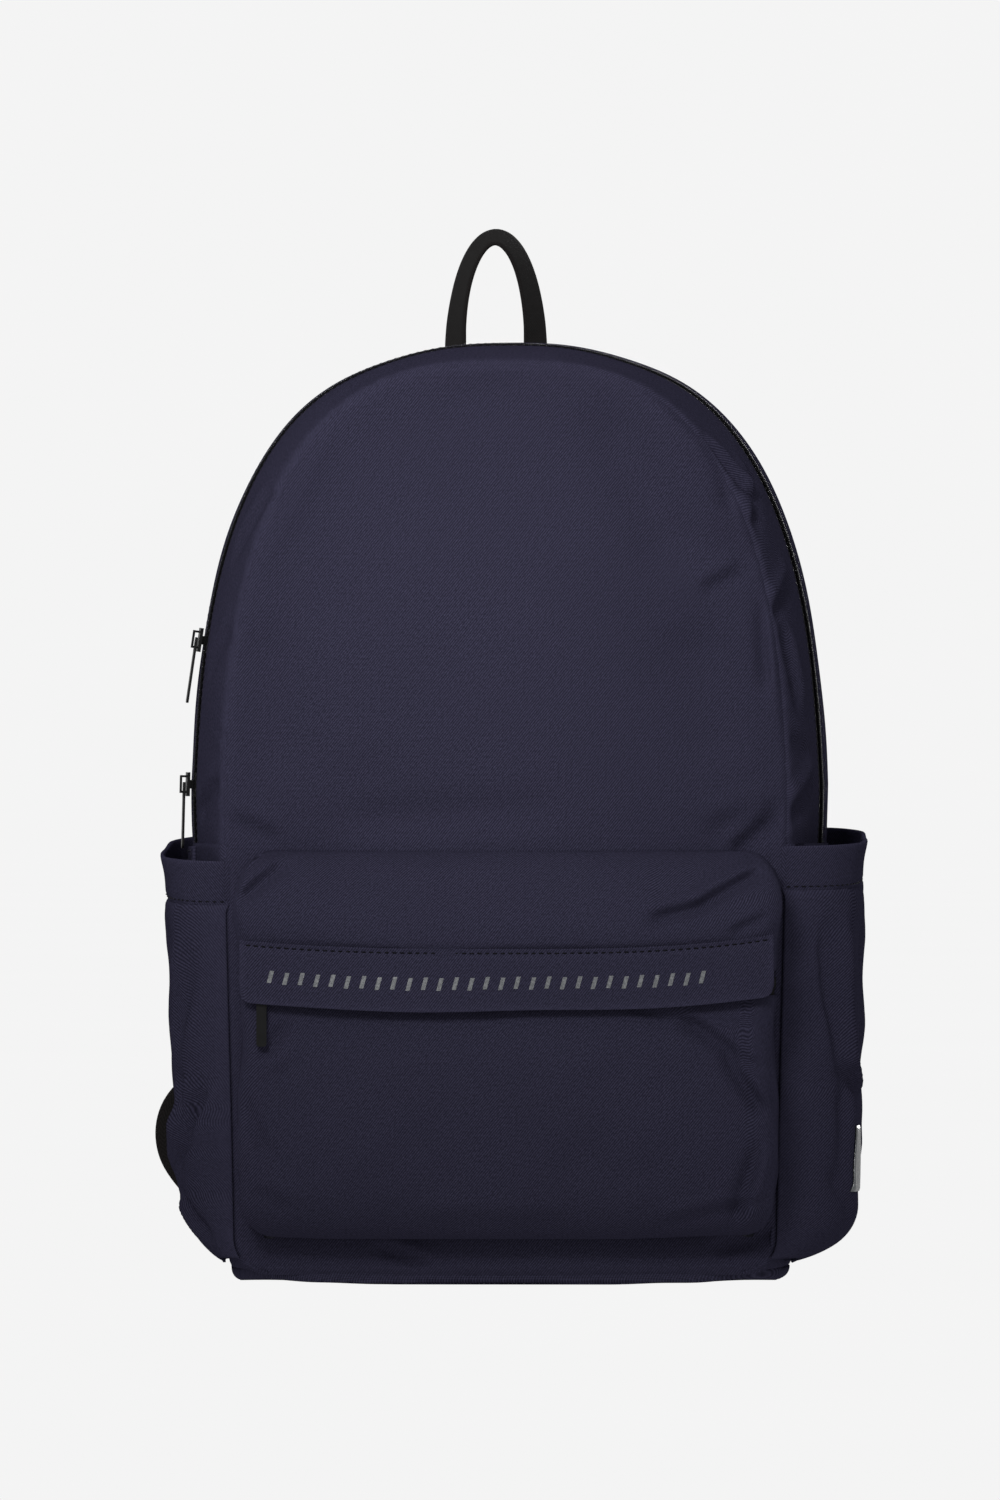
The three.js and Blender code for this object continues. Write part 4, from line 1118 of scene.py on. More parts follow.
def flap_bars():
    """A generic row of slanting reflective bars printed on the flap."""
    points, faces = [], []
    height, width, lean, pitch = 5.6, 1.9, 1.5, 7.0
    for index, x in enumerate(np.arange(-107, 95, pitch)):
        low = 17.6 + 0.4 * (index % 2)
        corners = [(0, 0), (width, 0), (width + lean, height), (lean, height)]
        for lifted in (0.02, 0.10):
            for dx, dz in corners:
                p = flap_point(np.array([x + dx]), np.array([low - dz]))[0]
                points.append(p - [0, lifted, 0])
        b = index * 8
        faces += [[b + 4, b + 5, b + 6, b + 7], [b + 3, b + 2, b + 1, b]]
        faces += [[b + k, b + (k + 1) % 4, b + 4 + (k + 1) % 4, b + 4 + k] for k in range(4)]
    points = np.array(points)
    obj = make_object("flap_reflective_bars", points, faces, silver_film, points[:, [0, 2]])
    obj.data.polygons.foreach_set("use_smooth", [False] * len(obj.data.polygons))
    fix_facing(obj)
    return obj


# ---------- side pockets ----------
SIDE_FRONT, SIDE_BACK, SIDE_BOTTOM = -65.2, 61.0, 9.0
HEM, HEM_EDGE = 20.0, 1.1  # height, and half the thickness of the rolled edge
# how far the face stands out, how much it tapers, and how deep and how high its bottom tucks in
SIDE_FACE = {"left": (156.5, 0.03, 27.0, 48.0), "right": (162.0, 0.01, 40.0, 26.0)}
RIM = {"left": (193.0, 204.0), "right": (200.0, 208.0)}  # the mouth's height in front and behind

# folds on the side pockets: start and end as (y, z), width, depth
SIDE_FOLDS = {
    "left": [
        ((-62, 92), (-38, 48), 4.0, 2.8),
        ((-38, 42), (-58, 22), 3.5, 2.2),
        ((-60, 156), (-46, 104), 5.0, 1.5),
        ((-48, 96), (-52, 60), 4.0, 1.4),
        ((-20, 165), (-4, 90), 9.0, 1.6),
        ((30, 160), (44, 80), 8.0, 1.5),
        ((10, 60), (36, 30), 8.0, 1.4),
    ],
    "right": [
        ((-60, 168), (-51, 98), 4.0, 2.6),
        ((-52, 100), (-26, 82), 4.0, 2.2),
        ((-48, 92), (-50, 42), 4.0, 2.2),
        ((-56, 52), (-40, 28), 4.0, 1.4),
        ((-14, 170), (0, 100), 9.0, 1.4),
        ((24, 150), (40, 70), 8.0, 1.5),
        ((6, 60), (30, 28), 8.0, 1.3),
    ],
}


def side_face(name, y, z):
    """How far a side pocket's outer face stands from the bag's middle."""
    out, taper, tuck, lift = SIDE_FACE[name]
    across = np.clip((y - SIDE_FRONT) / (SIDE_BACK - SIDE_FRONT) * 2 - 1, -1, 1)
    low = np.clip((SIDE_BOTTOM + lift - z) / lift, 0, 1)
    seam = wall_width(z, y) + 1.6 - 3.2 * smooth((SIDE_FRONT + 5 - y) / 5)
    face = out - taper * (200 - z) - tuck * (1 - np.sqrt(1 - low**2))
    return mix(seam, np.maximum(face, seam + 1.5), (1 - np.abs(across) ** 4) ** 0.6)


def rim_height(name, y):
    return mix(*RIM[name], (y - SIDE_FRONT) / (SIDE_BACK - SIDE_FRONT))


def side_relief(name, y, z):
    margin = np.minimum(y - SIDE_FRONT, SIDE_BACK - y)
    seam = rim_height(name, y) - HEM
    relief = folds(y, z, SIDE_FOLDS[name], 2.2) + 0.9 * ripple(y, z, 40, 81)
    relief = relief + 0.4 * pucker(z, margin, 9, 82)
    relief *= smooth(margin / 6) * smooth((z - SIDE_BOTTOM) / 10)
    if name == "right":
        relief *= 1 - 0.85 * bell(y, -33, 22) * bell(z, 57, 26)
    relief += 0.35 * pucker(y, np.abs(z - seam), 8, 83) - 1.5 * bell(z, seam, 2.0)
    return relief + 0.9 * bell(z, seam - 9, 7) * smooth(margin / 15)


def side_pockets():
    for name, side in (("left", -1), ("right", 1)):
        depths = mix(SIDE_FRONT, SIDE_BACK, (1 + np.sin(np.linspace(-0.5, 0.5, 82) * math.pi)) / 2)
        levels = crowded(0, 1, 86, 0.5)
        y = np.tile(depths, (len(levels), 1))
        floor = SIDE_BOTTOM + 3 * smooth((-20 - y) / 40)
        z = mix(floor, rim_height(name, y) - HEM + 1.2, levels[:, None])
        x = side_face(name, y, z) + side_relief(name, y, z)
        points = np.stack([side * x, y, z], axis=2)
        margin = np.minimum(y - SIDE_FRONT, SIDE_BACK - y)
        edge = bell(z, rim_height(name, y) - HEM, 2) * 0.6 + np.exp(-margin / 2)
        obj = sheet(f"side_pocket_{name}_cloth", points, navy_twill, BAG_MIDDLE, edge=edge,
                    lining=lining_cloth)
        on_body(obj, "bag", "navy_fabric", f"side_pocket_{name}")
        side_hem(name, side, depths)


def side_hem(name, side, depths):
    """The doubled band round a side pocket's mouth, with its rolled top edge and its stitching."""
    up = np.linspace(0, 1, 14)
    turn = np.linspace(0, math.pi, 7)
    straight = HEM - HEM_EDGE
    rolled = straight + HEM_EDGE * np.sin(turn[1:-1])
    heights = np.concatenate([up * straight, rolled, (1 - up) * straight])
    inset = HEM_EDGE * (1 - np.cos(turn[1:-1]))
    insets = np.concatenate([np.zeros(len(up)), inset, np.full(len(up), 2 * HEM_EDGE)])
    y = np.tile(depths, (len(heights), 1))
    rim = rim_height(name, y)
    z = rim - HEM + heights[:, None]
    flare = 1.4 * bell(heights, HEM, 7)[:, None] * smooth((SIDE_BACK - np.abs(y)) / 20)
    slack = 0.9 * ripple(y, 0 * y, 34, 91) * (heights[:, None] / HEM) * smooth((SIDE_BACK - np.abs(y)) / 14)
    pinch = 0.35 * pucker(y, heights[:, None] + 0 * y, 8, 83)
    sewn = 0.8 * bell(heights, 0, 2.0)[:, None]
    x = side_face(name, y, z) + 0.5 + flare + slack + pinch - sewn - insets[:, None]
    points = np.stack([side * x, y, z], axis=2)
    edge = 0.7 * bell(heights, HEM, 1.6)[:, None] + 0 * y
    obj = sheet(f"side_pocket_hem_{name}_cloth", points, navy_twill, BAG_MIDDLE, edge=edge, thickness=0)
    on_body(obj, "bag", "navy_fabric", f"side_pocket_hem_{name}")
    normals = surface_normals(points[: len(up)], BAG_MIDDLE)
    row = stitches(f"side_pocket_stitch_{name}", points[1], normals[1], dark_thread, 3.4, 2.4, 0.3)
    on_body(row, "bag", "navy_fabric")


# ---------- padding, webbing and edging ----------
FILLING_FRAMES = 14
PAD_END = 0.05  # the share of a pad's length over which each end flattens


def inflate(obj, free, pressure, growth, cap):
    """Fills a padded piece by cloth simulation. free is 0 where a seam holds a point, 1 in the open."""
    group = obj.vertex_groups.new(name="sewn")
    for index, share in enumerate(np.ravel(free)):
        if share < 0.995:
            group.add([index], float(1 - share), "REPLACE")
    modifier = obj.modifiers.new("filling", "CLOTH")
    settings = modifier.settings
    settings.vertex_group_mass = "sewn"
    settings.mass = 0.3
    settings.use_pressure = True
    settings.uniform_pressure_force = pressure
    settings.shrink_min = -growth
    settings.tension_stiffness = 20
    settings.compression_stiffness = 12
    settings.bending_stiffness = 0.6
    settings.effector_weights.gravity = 0
    modifier.point_cache.frame_end = FILLING_FRAMES
    scene = bpy.context.scene
    for step in range(1, FILLING_FRAMES + 1):
        scene.frame_set(step)
    filled = obj.evaluated_get(bpy.context.evaluated_depsgraph_get()).to_mesh()
    count = len(obj.data.vertices)
    rest, moved = np.zeros(count * 3), np.zeros(count * 3)
    obj.data.vertices.foreach_get("co", rest)
    filled.vertices.foreach_get("co", moved)
    shift = (moved - rest).reshape(-1, 3)
    length = np.maximum(np.linalg.norm(shift, axis=1, keepdims=True), 1e-9)
    limit = cap * MM
    shift *= limit * np.tanh(length / limit) / length
    obj.modifiers.remove(modifier)
    obj.data.vertices.foreach_set("co", rest + shift.ravel())
    obj.data.update()
    scene.frame_set(1)


def mirrored(points, side):
    return np.asarray(points, float) * [side, 1, 1]


def in_back_plane(tangent):
    """The across and out directions of a band that lies in the plane of the back."""
    across = unit(np.cross(tangent, [0.0, 1.0, 0.0]))
    out = np.cross(across, tangent)
    return across, out * np.sign(out[:, 1:2])


def run_length(line):
    return np.concatenate([[0], np.cumsum(np.linalg.norm(np.diff(line, axis=0), axis=1))])


def band_outline(width, thickness):
    """The cross-section of webbing: flat faces between rounded selvedges."""
    radius = thickness / 2
    half = width / 2 - radius
    turn = np.linspace(-math.pi / 2, math.pi / 2, 5)
    selvedge = np.stack([half + radius * np.cos(turn), radius * np.sin(turn)], axis=1)
    flat = np.linspace(-half, half, 9)[1:-1]
    face = np.stack([flat[::-1], np.full(7, radius)], axis=1)
    return np.concatenate([selvedge, face, -selvedge, -face])


def band(name, line, across, out, width, thickness, material, seed=0, wave=0.2):
    """A length of webbing along a line, a little uneven as woven tape is."""
    outline = band_outline(width, thickness)
    points = tube(line, across, out, outline)
    along = run_length(line)[:, None]
    points += out[:, None, :] * (wave * ripple(along, outline[:, 0], 34, 100 + seed))[..., None]
    cloth = np.stack([outline[:, 0] + 0 * along, along + 0 * outline[:, 0]], axis=2)
    edge = bell(np.abs(outline[:, 0]), width / 2, 0.8) + 0 * along
    return capped_tube(name, points, material, cloth, edge)


def edging(name, line, across, out, width, thickness, material):
    """Binding folded over an edge: a soft oval carried along it."""
    turn = np.linspace(0, 2 * math.pi, 13)[:-1]
    oval = np.stack([np.cos(turn) * width / 2, np.sin(turn) * thickness / 2], axis=1)
    points = tube(line, across, out, oval)
    along = run_length(line)[:, None]
    cloth = np.stack([turn * width / 4 + 0 * along, along + 0 * turn], axis=2)
    return capped_tube(name, points, material, cloth, bell(turn, math.pi / 2, 0.5) + 0 * along)


def pad(name, line, across, out, half, thickness, top, under):
    """A padded panel along a line: crowned faces that pull in to thin sewn edges."""
    share = crowded(-1, 1, 31, 0.6)
    height = (1 - np.abs(share) ** 4) ** 0.7
    x = np.concatenate([share, share[::-1][1:-1]])
    up = np.concatenate([height, -height[::-1][1:-1]])
    t = np.linspace(0, 1, len(line))
    ends = smooth(t / PAD_END) * smooth((1 - t) / PAD_END)
    full = np.abs(up)[None, :] * mix(0.25, 1, ends)[:, None]
    tall = mix(0.8, thickness / 2, full) * np.where(up >= 0, 1, -1)
    tall = np.where(np.abs(x)[None, :] > 0.999, 0, tall)
    wide = x[None, :] * half(t)[:, None]
    points = line[:, None, :] + across[:, None, :] * wide[..., None] + out[:, None, :] * tall[..., None]
    along = run_length(line)[:, None]
    cloth = np.stack([wide, along + 0 * x], axis=2)
    obj = capped_tube(name, points, top, cloth, bell(np.abs(x), 1, 0.05) + 0 * along)
    obj.data.materials.append(under)
    for polygon in obj.data.polygons:
        if polygon.index % len(x) >= len(share) - 1:
            polygon.material_index = 1
    inflate(obj, ends[:, None] * smooth((1 - np.abs(x)) / 0.25), 3.0, 0.015, 1.6)
    return obj


# ---------- shoulder straps ----------
STRAP_LINE = [[39.5, 69.6, 399], [40, 74.5, 389], [43, 88, 360], [52, 99, 310], [67, 104, 255],
              [83, 103, 205], [98, 98, 165], [106, 94, 142]]
STRAP_TOP_WIDTH, STRAP_END_WIDTH, STRAP_THICKNESS = 62.0, 44.0, 9.0
LOWER_LINE = [[116.5, 88.7, 110], [131, 84, 92], [144, 79, 74], [146, 75.5, 60], [138, 71.8, 43],
              [124, 69.8, 27]]
TAIL_LINE = [[112.6, 96.4, 111], [115, 98.6, 90], [116, 99, 62], [117, 98, 32]]
STRAP_BULGE = {"left": 8.0, "right": 0.0}  # how much further out the slack webbing stands
STRAP_DOWN = (0.31, -0.155, -0.94)
LOCK_DISTANCE = 15.5
WEBBING_FACE = 0.95  # where a stitch lies above the middle of webbing
STRAP_WEBBING = slice(10, -3)  # the stations of the strap's line that its webbing covers
ANCHOR_Y = 68.2
BAR_WIDTH = np.linspace(-10, 10, 12)[:, None]  # across a sewn bar

# webbing through the lock's two slots, as (down, out) about the lock's centre
UPPER_LOOP = [(-24, 4.6), (-16, 4.0), (-10, 3.1), (-6.4, 2.0), (-5, 0), (-6.4, -2.3), (-10, -3.2),
              (-15, -2.6)]
LOWER_LOOP = [(19, 7.2), (14, 4.6), (9, 3.1), (6.2, 2.0), (5, 0), (6.2, -2.2), (10, -3.1), (15, -2.6),
              (19, -1.2)]


def strap_half(t):
    rounded = 1 - 0.32 * np.clip((t - 0.95) / 0.05, 0, 1) ** 2
    return mix(STRAP_TOP_WIDTH, STRAP_END_WIDTH, t**0.8) / 2 * rounded


def sewn_bar(name, line, across, out, at):
    """A short row of stitches across webbing, at one station of its line."""
    bar = line[at] + across[at] * BAR_WIDTH
    return stitches(name, bar, np.tile(out[at], (12, 1)), dark_thread, 2.4, 2.0)


def shoulder_strap(name, side):
    line, tangent = curve_through(mirrored(STRAP_LINE, side), 150)
    across, out = in_back_plane(tangent)

    def attach(obj):
        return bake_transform(obj)

    obj = pad(f"shoulder_strap_{name}_pad", line, across, out, lambda t: strap_half(t) - 1.0,
              STRAP_THICKNESS, navy_twill, navy_mesh)
    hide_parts(f"shoulder_strap_{name}")
    attach(obj)
    t = np.linspace(0, 1, len(line))
    half = strap_half(t)[:, None]
    for side_name, sign in (("inner", -1), ("outer", 1)):
        rim_line = line + across * sign * (half - 1.2)
        rim = edging(f"shoulder_strap_{name}_binding_{side_name}", rim_line, across, out, 3.0, 3.4,
                     binding_tape)
        attach(rim)
        seam = (line + across * sign * (half - 3.6) + out * 2.6)[4:-3]
        row = stitches(f"shoulder_strap_{name}_seam_{side_name}", seam, out[4:-3], thread)
        attach(row)
    lift = STRAP_THICKNESS / 2 + 0.5
    lift = lift * smooth(t / 0.07) * mix(1, 0.75, smooth((t - 0.93) / 0.07))
    webbing_line = (line + out * lift[:, None])[STRAP_WEBBING]
    across, out = across[STRAP_WEBBING], out[STRAP_WEBBING]
    strip = band(f"shoulder_strap_{name}_webbing", webbing_line, across, out, WEBBING_WIDTH,
                 WEBBING_THICKNESS, black_webbing, 3)
    attach(strip)
    face = webbing_line + out * WEBBING_FACE
    for side_name, sign in (("a", -1), ("b", 1)):
        seam = (face + across * sign * (WEBBING_WIDTH / 2 - 2.2))[2:-2]
        row = stitches(f"shoulder_strap_{name}_webbing_seam_{side_name}", seam, out[2:-2], dark_thread)
        attach(row)
    for index, at in enumerate((18, 42, -14)):
        bar = sewn_bar(f"shoulder_strap_{name}_bar_{index}", face, across, out, at)
        attach(bar)


def lock_frame(side):
    """The ladder lock's centre and its down, across and out directions."""
    down = mirrored([STRAP_DOWN], side)[0]
    across = np.cross(down, [0.0, 1.0, 0.0])
    across /= np.linalg.norm(across)
    out = np.cross(across, down)
    out *= np.sign(out[1]) / np.linalg.norm(out)
    return mirrored([STRAP_LINE[-1]], side)[0] + down * LOCK_DISTANCE, down, across, out


def lock_loop(name, side, path):
    """Webbing wrapped round a bar of the lock: path holds (down, out) pairs about the lock's centre."""
    centre, down, across, out = lock_frame(side)
    points = np.array([centre + down * d + out * o for d, o in path])
    line, tangent = curve_through(points, 40)
    sideways = np.tile(across, (len(line), 1))
    outward = np.cross(sideways, tangent)
    outward /= np.linalg.norm(outward, axis=1, keepdims=True)
    return band(name, line, sideways, outward, WEBBING_WIDTH - 0.4, 1.4, black_webbing, 5, 0.05)


def lock_loops(name, side):
    centre, down, _, _ = lock_frame(side)
    for part, path, reach in (("upper", UPPER_LOOP, (-17, -11)), ("lower", LOWER_LOOP, (18, 8))):
        start, end = (tuple((centre + down * distance) * MM) for distance in reach)
        loop = lock_loop(f"lock_{name}_{part}_loop", side, path)
        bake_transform(loop)
        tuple(start)
        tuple(end)


def webbing_below_lock(name, side):
    lock_loops(name, side)
    bulge = [[STRAP_BULGE[name] * bell(z, 72, 26), 0, 0] for _, _, z in LOWER_LINE]
    line, tangent = curve_through(mirrored(np.array(LOWER_LINE) + bulge, side), 70)
    across, out = in_back_plane(tangent)
    lower = band(f"lower_webbing_{name}_band", line, across, out, WEBBING_WIDTH, WEBBING_THICKNESS,
                 black_webbing, 7)
    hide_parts(f"lower_webbing_{name}")
    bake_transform(lower)
    webbing_tail(name, side)


def webbing_tail(name, side):
    """The free end of the webbing, turned over and sewn down as a hem."""
    body = f"tail_{name}"
    line, tangent = curve_through(mirrored(TAIL_LINE, side), 60)
    across, out = in_back_plane(tangent)
    tail = band(f"webbing_tail_{name}_band", line, across, out, WEBBING_WIDTH, WEBBING_THICKNESS,
                black_webbing, 9)
    on_body(tail, body, "black_webbing", f"webbing_tail_{name}")
    hem_line = line[-17:] - out[-17:] * 1.5
    hem = band(f"webbing_tail_{name}_hem", hem_line, across[-17:], out[-17:], WEBBING_WIDTH - 0.6, 1.5,
               black_webbing, 9)
    on_body(hem, body, "black_webbing")
    for index, at in enumerate((-15, -5)):
        bar = sewn_bar(f"webbing_tail_{name}_bar_{index}", line + out * WEBBING_FACE, across, out, at)
        on_body(bar, body, "black_webbing")


def patch_loop(points):
    """The line of stitches two stations inside the rim of a small patch of cloth."""
    inner = points[2:-2, 2:-2]
    return np.concatenate([inner[0], inner[:, -1], inner[-1, ::-1], inner[::-1, 0]])


def anchor_tab(name, side):
    """The triangle of cloth that holds the lower webbing in the back's bottom corner."""
    low = np.array([[130.5, 12], [101, 15]])
    high = np.array([[132, 48], [121, 46]])
    a, b = np.meshgrid(np.linspace(0, 1, 16), np.linspace(0, 1, 18))
    flat = mix(mix(low[0], low[1], a[..., None]), mix(high[0], high[1], a[..., None]), b[..., None])
    rim = np.minimum(np.minimum(a, 1 - a), np.minimum(b, 1 - b))
    y = ANCHOR_Y + 0.9 * smooth(rim / 0.2) + 0.2 * ripple(flat[..., 0], flat[..., 1], 14, 111)
    points = np.stack([side * flat[..., 0], y, flat[..., 1]], axis=2)
    obj = sheet(f"anchor_tab_{name}_cloth", points, navy_twill, (0, 0, 30), edge=np.exp(-rim / 0.08),
                thickness=1.5)
    on_body(obj, "bag", "navy_fabric", f"anchor_tab_{name}")
    loop = patch_loop(points) + [0, 0.1, 0]
    row = stitches(f"anchor_tab_{name}_seam", loop, np.tile([0.0, 1.0, 0.0], (len(loop), 1)), thread)
    on_body(row, "bag", "navy_fabric")


# ---------- back ----------
BACK_SEAMS = (150.0, 262.0)
BACK_CHANNEL = 8.0
YOKE_HALF, YOKE_BOTTOM, YOKE_Y = 76, 391, 67.9


def back_depth(x, z, margin):
    """The padded back: two columns of pads between a central channel and cross seams."""
    column = smooth((np.abs(x) - BACK_CHANNEL) / 15)
    rim = smooth((margin - 9) / 16)
    rows = 1 - sum(bell(z, seam, 5.5) for seam in BACK_SEAMS)
    below_yoke = smooth((390 - z) / 18)
    puff = 3.3 * column * rim * rows * below_yoke
    lines = bell(margin, 9, 1.4) + bell(np.abs(x), BACK_CHANNEL, 1.4) * rim + (1 - rows) * 0.2
    return BACK_Y - 0.9 + 0.8 * smooth(margin / 4) + puff - 0.5 * lines + 0.25 * ripple(x, z, 60, 121) * rim


def back():
    outline = closed_outline(BACK_Y - 1, WALL_BOTTOM - 2, 300, 0.3)
    shares = 1 - crowded(0, 1, 84, 0.2) ** 1.15
    shares[-1] = 0.002
    obj = disc("back_panel_mesh", outline, shares, back_depth, navy_mesh, True, thickness=0)
    x, y, _ = np.array([v.co for v in obj.data.vertices]).T / MM
    inflate(obj, smooth((y - BACK_Y - 0.6) / 2.0) * (np.abs(x) > BACK_CHANNEL), 2.0, 0.02, 0.5)
    thicken(obj, 1.2, lining_cloth)
    on_body(obj, "bag", "navy_back_mesh", "back_panel")
    loop = np.insert(np.concatenate([outline, outline[:1]]), 1, BACK_Y - 1.2, axis=1)
    towards = unit(loop - [0, BACK_Y - 1.2, PANEL_MIDDLE_Z])
    backward = np.tile([0.0, 1.0, 0.0], (len(loop), 1))
    rim = edging("back_seam_binding", loop, towards, backward, 3.2, 3.6, binding_tape)
    on_body(rim, "bag", "navy_fabric")
    back_seams(outline)
    yoke()


def back_seams(outline):
    rows = []
    for side in (-1, 1):
        rows.append(np.stack([np.full(160, side * BACK_CHANNEL), np.linspace(18, 392, 160)], axis=1))
    for height in BACK_SEAMS:
        for side in (-1, 1):
            reach = side * np.linspace(BACK_CHANNEL + 2, 122, 60)
            rows.append(np.stack([reach, np.full(60, height)], axis=1))
    centre = np.array([0, PANEL_MIDDLE_Z])
    reach = np.linalg.norm(outline - centre, axis=1, keepdims=True)
    rows.append(centre + (outline - centre) * (1 - 9.5 / reach))
    for index, row in enumerate(rows):
        margin = np.min(np.linalg.norm(row[:, None, :] - outline[None], axis=2), axis=1)
        line = np.stack([row[:, 0], back_depth(row[:, 0], row[:, 1], margin) + 0.15, row[:, 1]], axis=1)
        normals = np.tile([0.0, 1.0, 0.0], (len(line), 1))
        seam = stitches(f"back_panel_seam_{index}", line, normals, dark_thread, 4.0, 2.8, 0.32)
        on_body(seam, "bag", "navy_back_mesh")


def yoke():
    """The patch that covers the sewn ends of the straps."""
    x, share = np.meshgrid(crowded(-YOKE_HALF, YOKE_HALF, 90, 0.4), crowded(0, 1, 22, 0.4))
    arch = (1 - (np.abs(x) / spring_width(BACK_Y - 1)) ** ARCH_POWER) ** (1 / ARCH_POWER)
    top = SPRING_Z + (arch_top(BACK_Y) - SPRING_Z) * arch - 9
    z = mix(YOKE_BOTTOM, top, share)
    rim = np.minimum(YOKE_HALF - np.abs(x), np.minimum(z - YOKE_BOTTOM, top - z))
    over = smooth((np.abs(x) - 6) / 8) * smooth((73 - np.abs(x)) / 6)
    y = YOKE_Y + 0.6 * smooth(rim / 4) + 3.6 * over * smooth((409 - z) / 14) + 0.2 * ripple(x, z, 30, 131)
    points = np.stack([x, y, z], axis=2)
    obj = sheet("yoke_panel_cloth", points, navy_twill, (0, 0, 400), edge=np.exp(-rim / 2), thickness=1.5)
    on_body(obj, "bag", "navy_fabric", "yoke_panel")
    normals = surface_normals(points, (0, 0, 400))[:, 3:-3]
    for index, row in enumerate((2, 5, 19)):
        seam = stitches(f"yoke_seam_{index}", points[row][3:-3] + [0, 0.1, 0], normals[row], thread)
        on_body(seam, "bag", "navy_fabric")


# ---------- grab handle ----------
HANDLE_MIDDLE, HANDLE_REACH, HANDLE_Y = -8.2, 18.5, 72.5
HANDLE_LOW, HANDLE_RISE = 430.0, 51.0
HANDLE_WIDTH, HANDLE_THICKNESS = 20.0, 1.8


def grab_handle():
    angle = np.linspace(0, math.pi, 15)
    arch = np.stack([HANDLE_MIDDLE - HANDLE_REACH * np.cos(angle), np.full(15, HANDLE_Y),
                     HANDLE_LOW + HANDLE_RISE * np.sin(angle)], axis=1)
    left, right = (
        [
            [HANDLE_MIDDLE + side * (HANDLE_REACH + 0.6), HANDLE_Y - 9, HANDLE_LOW - 11],
            [HANDLE_MIDDLE + side * (HANDLE_REACH + 0.4), HANDLE_Y - 3.5, HANDLE_LOW - 5.5],
        ]
        for side in (-1, 1)
    )
    line, tangent = curve_through(np.concatenate([left, arch, right[::-1]]), 120)
    t = np.linspace(0, 1, len(line))
    roll = np.radians(mix(32, 21, np.sin(math.pi * t)))[:, None]
    in_plane = np.cross(tangent, [0.0, 1.0, 0.0])
    across = np.array([0.0, 1.0, 0.0]) * np.cos(roll) + in_plane * np.sin(roll)
    out = np.cross(tangent, across)
    obj = band("grab_handle_webbing", line, across, out, HANDLE_WIDTH, HANDLE_THICKNESS, black_webbing,
               11, 0.15)
    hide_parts("grab_handle")
    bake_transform(obj)


# ---------- inside ----------
LINING_Y = 55.0
SLEEVE_HALF, SLEEVE_TOP, SLEEVE_Y = 116, 299, 30.8
SLEEVE_STRAP_LINE = [[53.1, 345], [52.9, 328], [46, 313], [36, 306.5], [27.5, 304], [24.3, 297], [24.3, 258]]


def inside():
    outline = closed_outline(LINING_Y, 9.5, 200, 3.0)
    shares = 1 - np.linspace(0, 0.998, 50)

    def depth(x, z, margin):
        return LINING_Y + 0.5 * ripple(x, z, 70, 141) * smooth(margin / 12)

    obj = disc("back_lining_cloth", outline, shares, depth, lining_cloth, thickness=0.8)
    on_body(obj, "bag", "lining", "back_lining")
    sleeve_panel()
    sleeve_strap()


def sleeve_panel():
    line = np.insert(np.linspace((0, 9.2), (0, SLEEVE_TOP), 60), 1, SLEEVE_Y, axis=1)
    across, out = np.tile([1.0, 0.0, 0.0], (60, 1)), np.tile([0.0, -1.0, 0.0], (60, 1))
    sleeve = pad("sleeve_panel_pad", line, across, out, lambda t: SLEEVE_HALF + 0 * t, 5.2, lining_cloth,
                 lining_cloth)
    on_body(sleeve, "bag", "lining", "sleeve_panel")
    top = np.linspace((-SLEEVE_HALF, SLEEVE_TOP), (SLEEVE_HALF, SLEEVE_TOP), 80)
    top = np.insert(top, 1, SLEEVE_Y, axis=1)
    across, out = np.tile([0.0, 0.0, 1.0], (80, 1)), np.tile([0.0, 1.0, 0.0], (80, 1))
    rim = edging("sleeve_binding", top, across, out, 8.0, 3.6, binding_tape)
    on_body(rim, "bag", "lining")


def sleeve_strap():
    line, tangent = curve_through(np.insert(np.array(SLEEVE_STRAP_LINE), 0, 0, axis=1), 70)
    across = np.tile([1.0, 0.0, 0.0], (70, 1))
    strap = band("sleeve_strap_webbing", line, across, np.cross(across, tangent), 25, 1.4, black_webbing, 13)
    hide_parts("sleeve_strap")
    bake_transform(strap)


# ---------- small cloth pieces ----------
TAB_DEPTHS, TAB_HEIGHTS = (-23.2, -4.8), (184, 199.6)


def rim_margin(a, b, a_span, b_span):
    """How far inside a rectangle each point lies."""
    across = np.minimum(a - a_span[0], a_span[1] - a)
    return np.minimum(across, np.minimum(b - b_span[0], b_span[1] - b))


def zip_end_tabs():
    """The folded tabs that cover the lower ends of the main zip."""
    for name, side in (("left", -1), ("right", 1)):
        y, z = np.meshgrid(np.linspace(*TAB_DEPTHS, 18), np.linspace(*TAB_HEIGHTS, 16))
        rim = rim_margin(y, z, TAB_DEPTHS, TAB_HEIGHTS)
        x = half_width(z, y) + 2.0 + 0.7 * smooth(rim / 3) + 0.15 * ripple(y, z, 9, 151)
        points = np.stack([side * x, y, z], axis=2)
        obj = sheet(f"zip_end_tab_{name}_cloth", points, navy_twill, BAG_MIDDLE, edge=np.exp(-rim),
                    thickness=1.6)
        on_body(obj, "bag", "navy_fabric", f"zip_end_tab_{name}")
        loop = patch_loop(points) + [side * 0.1, 0, 0]
        outward = np.tile([float(side), 0, 0], (len(loop), 1))
        row = stitches(f"zip_end_tab_{name}_seam", loop, outward, thread, 2.8, 2.0)
        on_body(row, "bag", "navy_fabric")


STRIP_HEIGHTS, STRIP_FRONT, STRIP_BACK, STRIP_WIDTH = (42, 72), (-45, -38), -22, 18


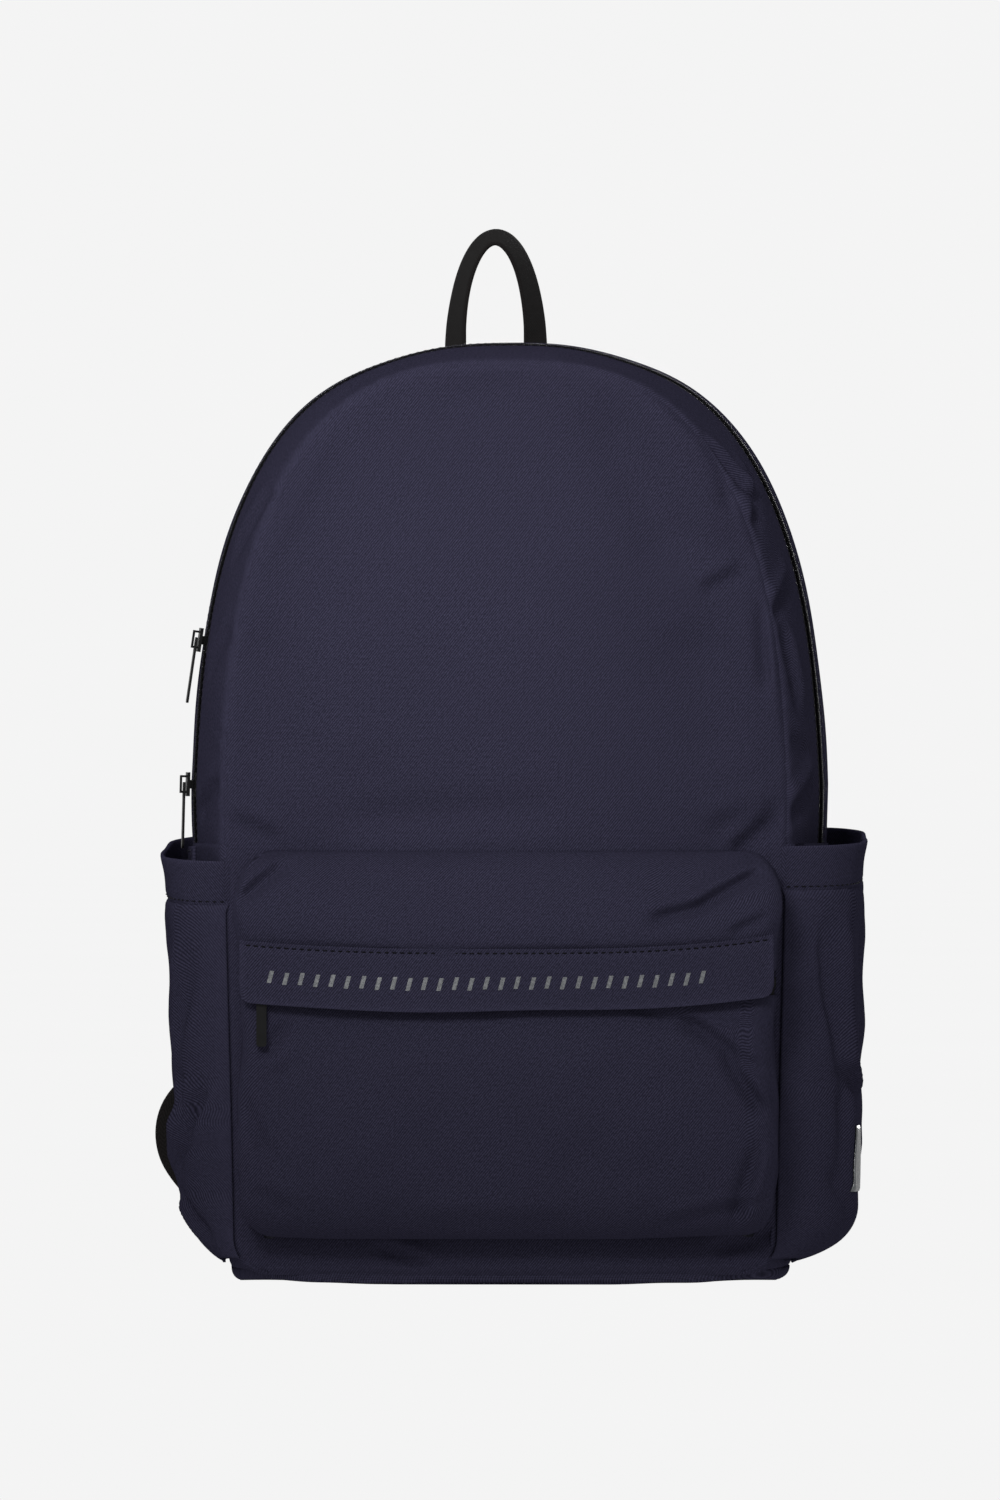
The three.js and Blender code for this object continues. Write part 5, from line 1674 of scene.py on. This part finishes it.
def reflective_tab():
    """The strip of reflective film sewn to the right side pocket."""
    low, high = STRIP_HEIGHTS
    a, z = np.meshgrid(np.linspace(0, 1, 18), np.linspace(low, high, 24))
    y = mix(mix(*STRIP_FRONT, (z - low) / (high - low)), STRIP_BACK, a)
    rim = rim_margin(a * STRIP_WIDTH, z, (0, STRIP_WIDTH), STRIP_HEIGHTS)
    x = side_face("right", y, z) + side_relief("right", y, z) + 0.8 + 0.45 * smooth(rim / 1.5)
    points = np.stack([x, y, z], axis=2)
    obj = sheet("reflective_tab_film", points, silver_film, BAG_MIDDLE, thickness=0.6)
    on_body(obj, "bag", "reflective", "reflective_tab")


# ---------- hard parts that keep their frame mesh ----------
HARD_PARTS = {
    "main_slider_lower": (black_metal, 0.45),
    "main_pull_lower": (black_metal, 0.3),
    "main_slider_upper": (black_metal, 0.45),
    "main_pull_upper": (black_metal, 0.3),
    "pocket_slider": (black_metal, 0.45),
    "pocket_pull": (black_metal, 0.3),
    "ladder_lock_left": (black_plastic, 0.7),
    "ladder_lock_right": (black_plastic, 0.7),
    "base_board": (board_grain, 0.5),
    "back_foam": (foam_grain, 0.8),
    "loop_patch": (hook_fuzz, 0.2),
    "hook_patch": (hook_fuzz, 0.2),
}


def hard_parts():
    for name, (material, radius) in HARD_PARTS.items():
        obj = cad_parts[name]
        obj.data.materials.clear()
        obj.data.materials.append(material)
        bevel = obj.modifiers.new("rounded_edges", "BEVEL")
        bevel.width = radius * MM
        bevel.segments = 3
        bevel.limit_method = "ANGLE"
        bevel.angle_limit = math.radians(35)


def build():
    make_camera()
    make_stage()
    front_panel()
    gussets()
    side_panels()
    base()
    zip_tapes()
    main_coils()
    pocket_lower()
    pocket_upper()
    pocket_zip()
    storm_flap()
    side_pockets()
    for name, side in (("left", -1), ("right", 1)):
        shoulder_strap(name, side)
        webbing_below_lock(name, side)
        anchor_tab(name, side)
    back()
    grab_handle()
    inside()
    zip_end_tabs()
    reflective_tab()
    hard_parts()


build()
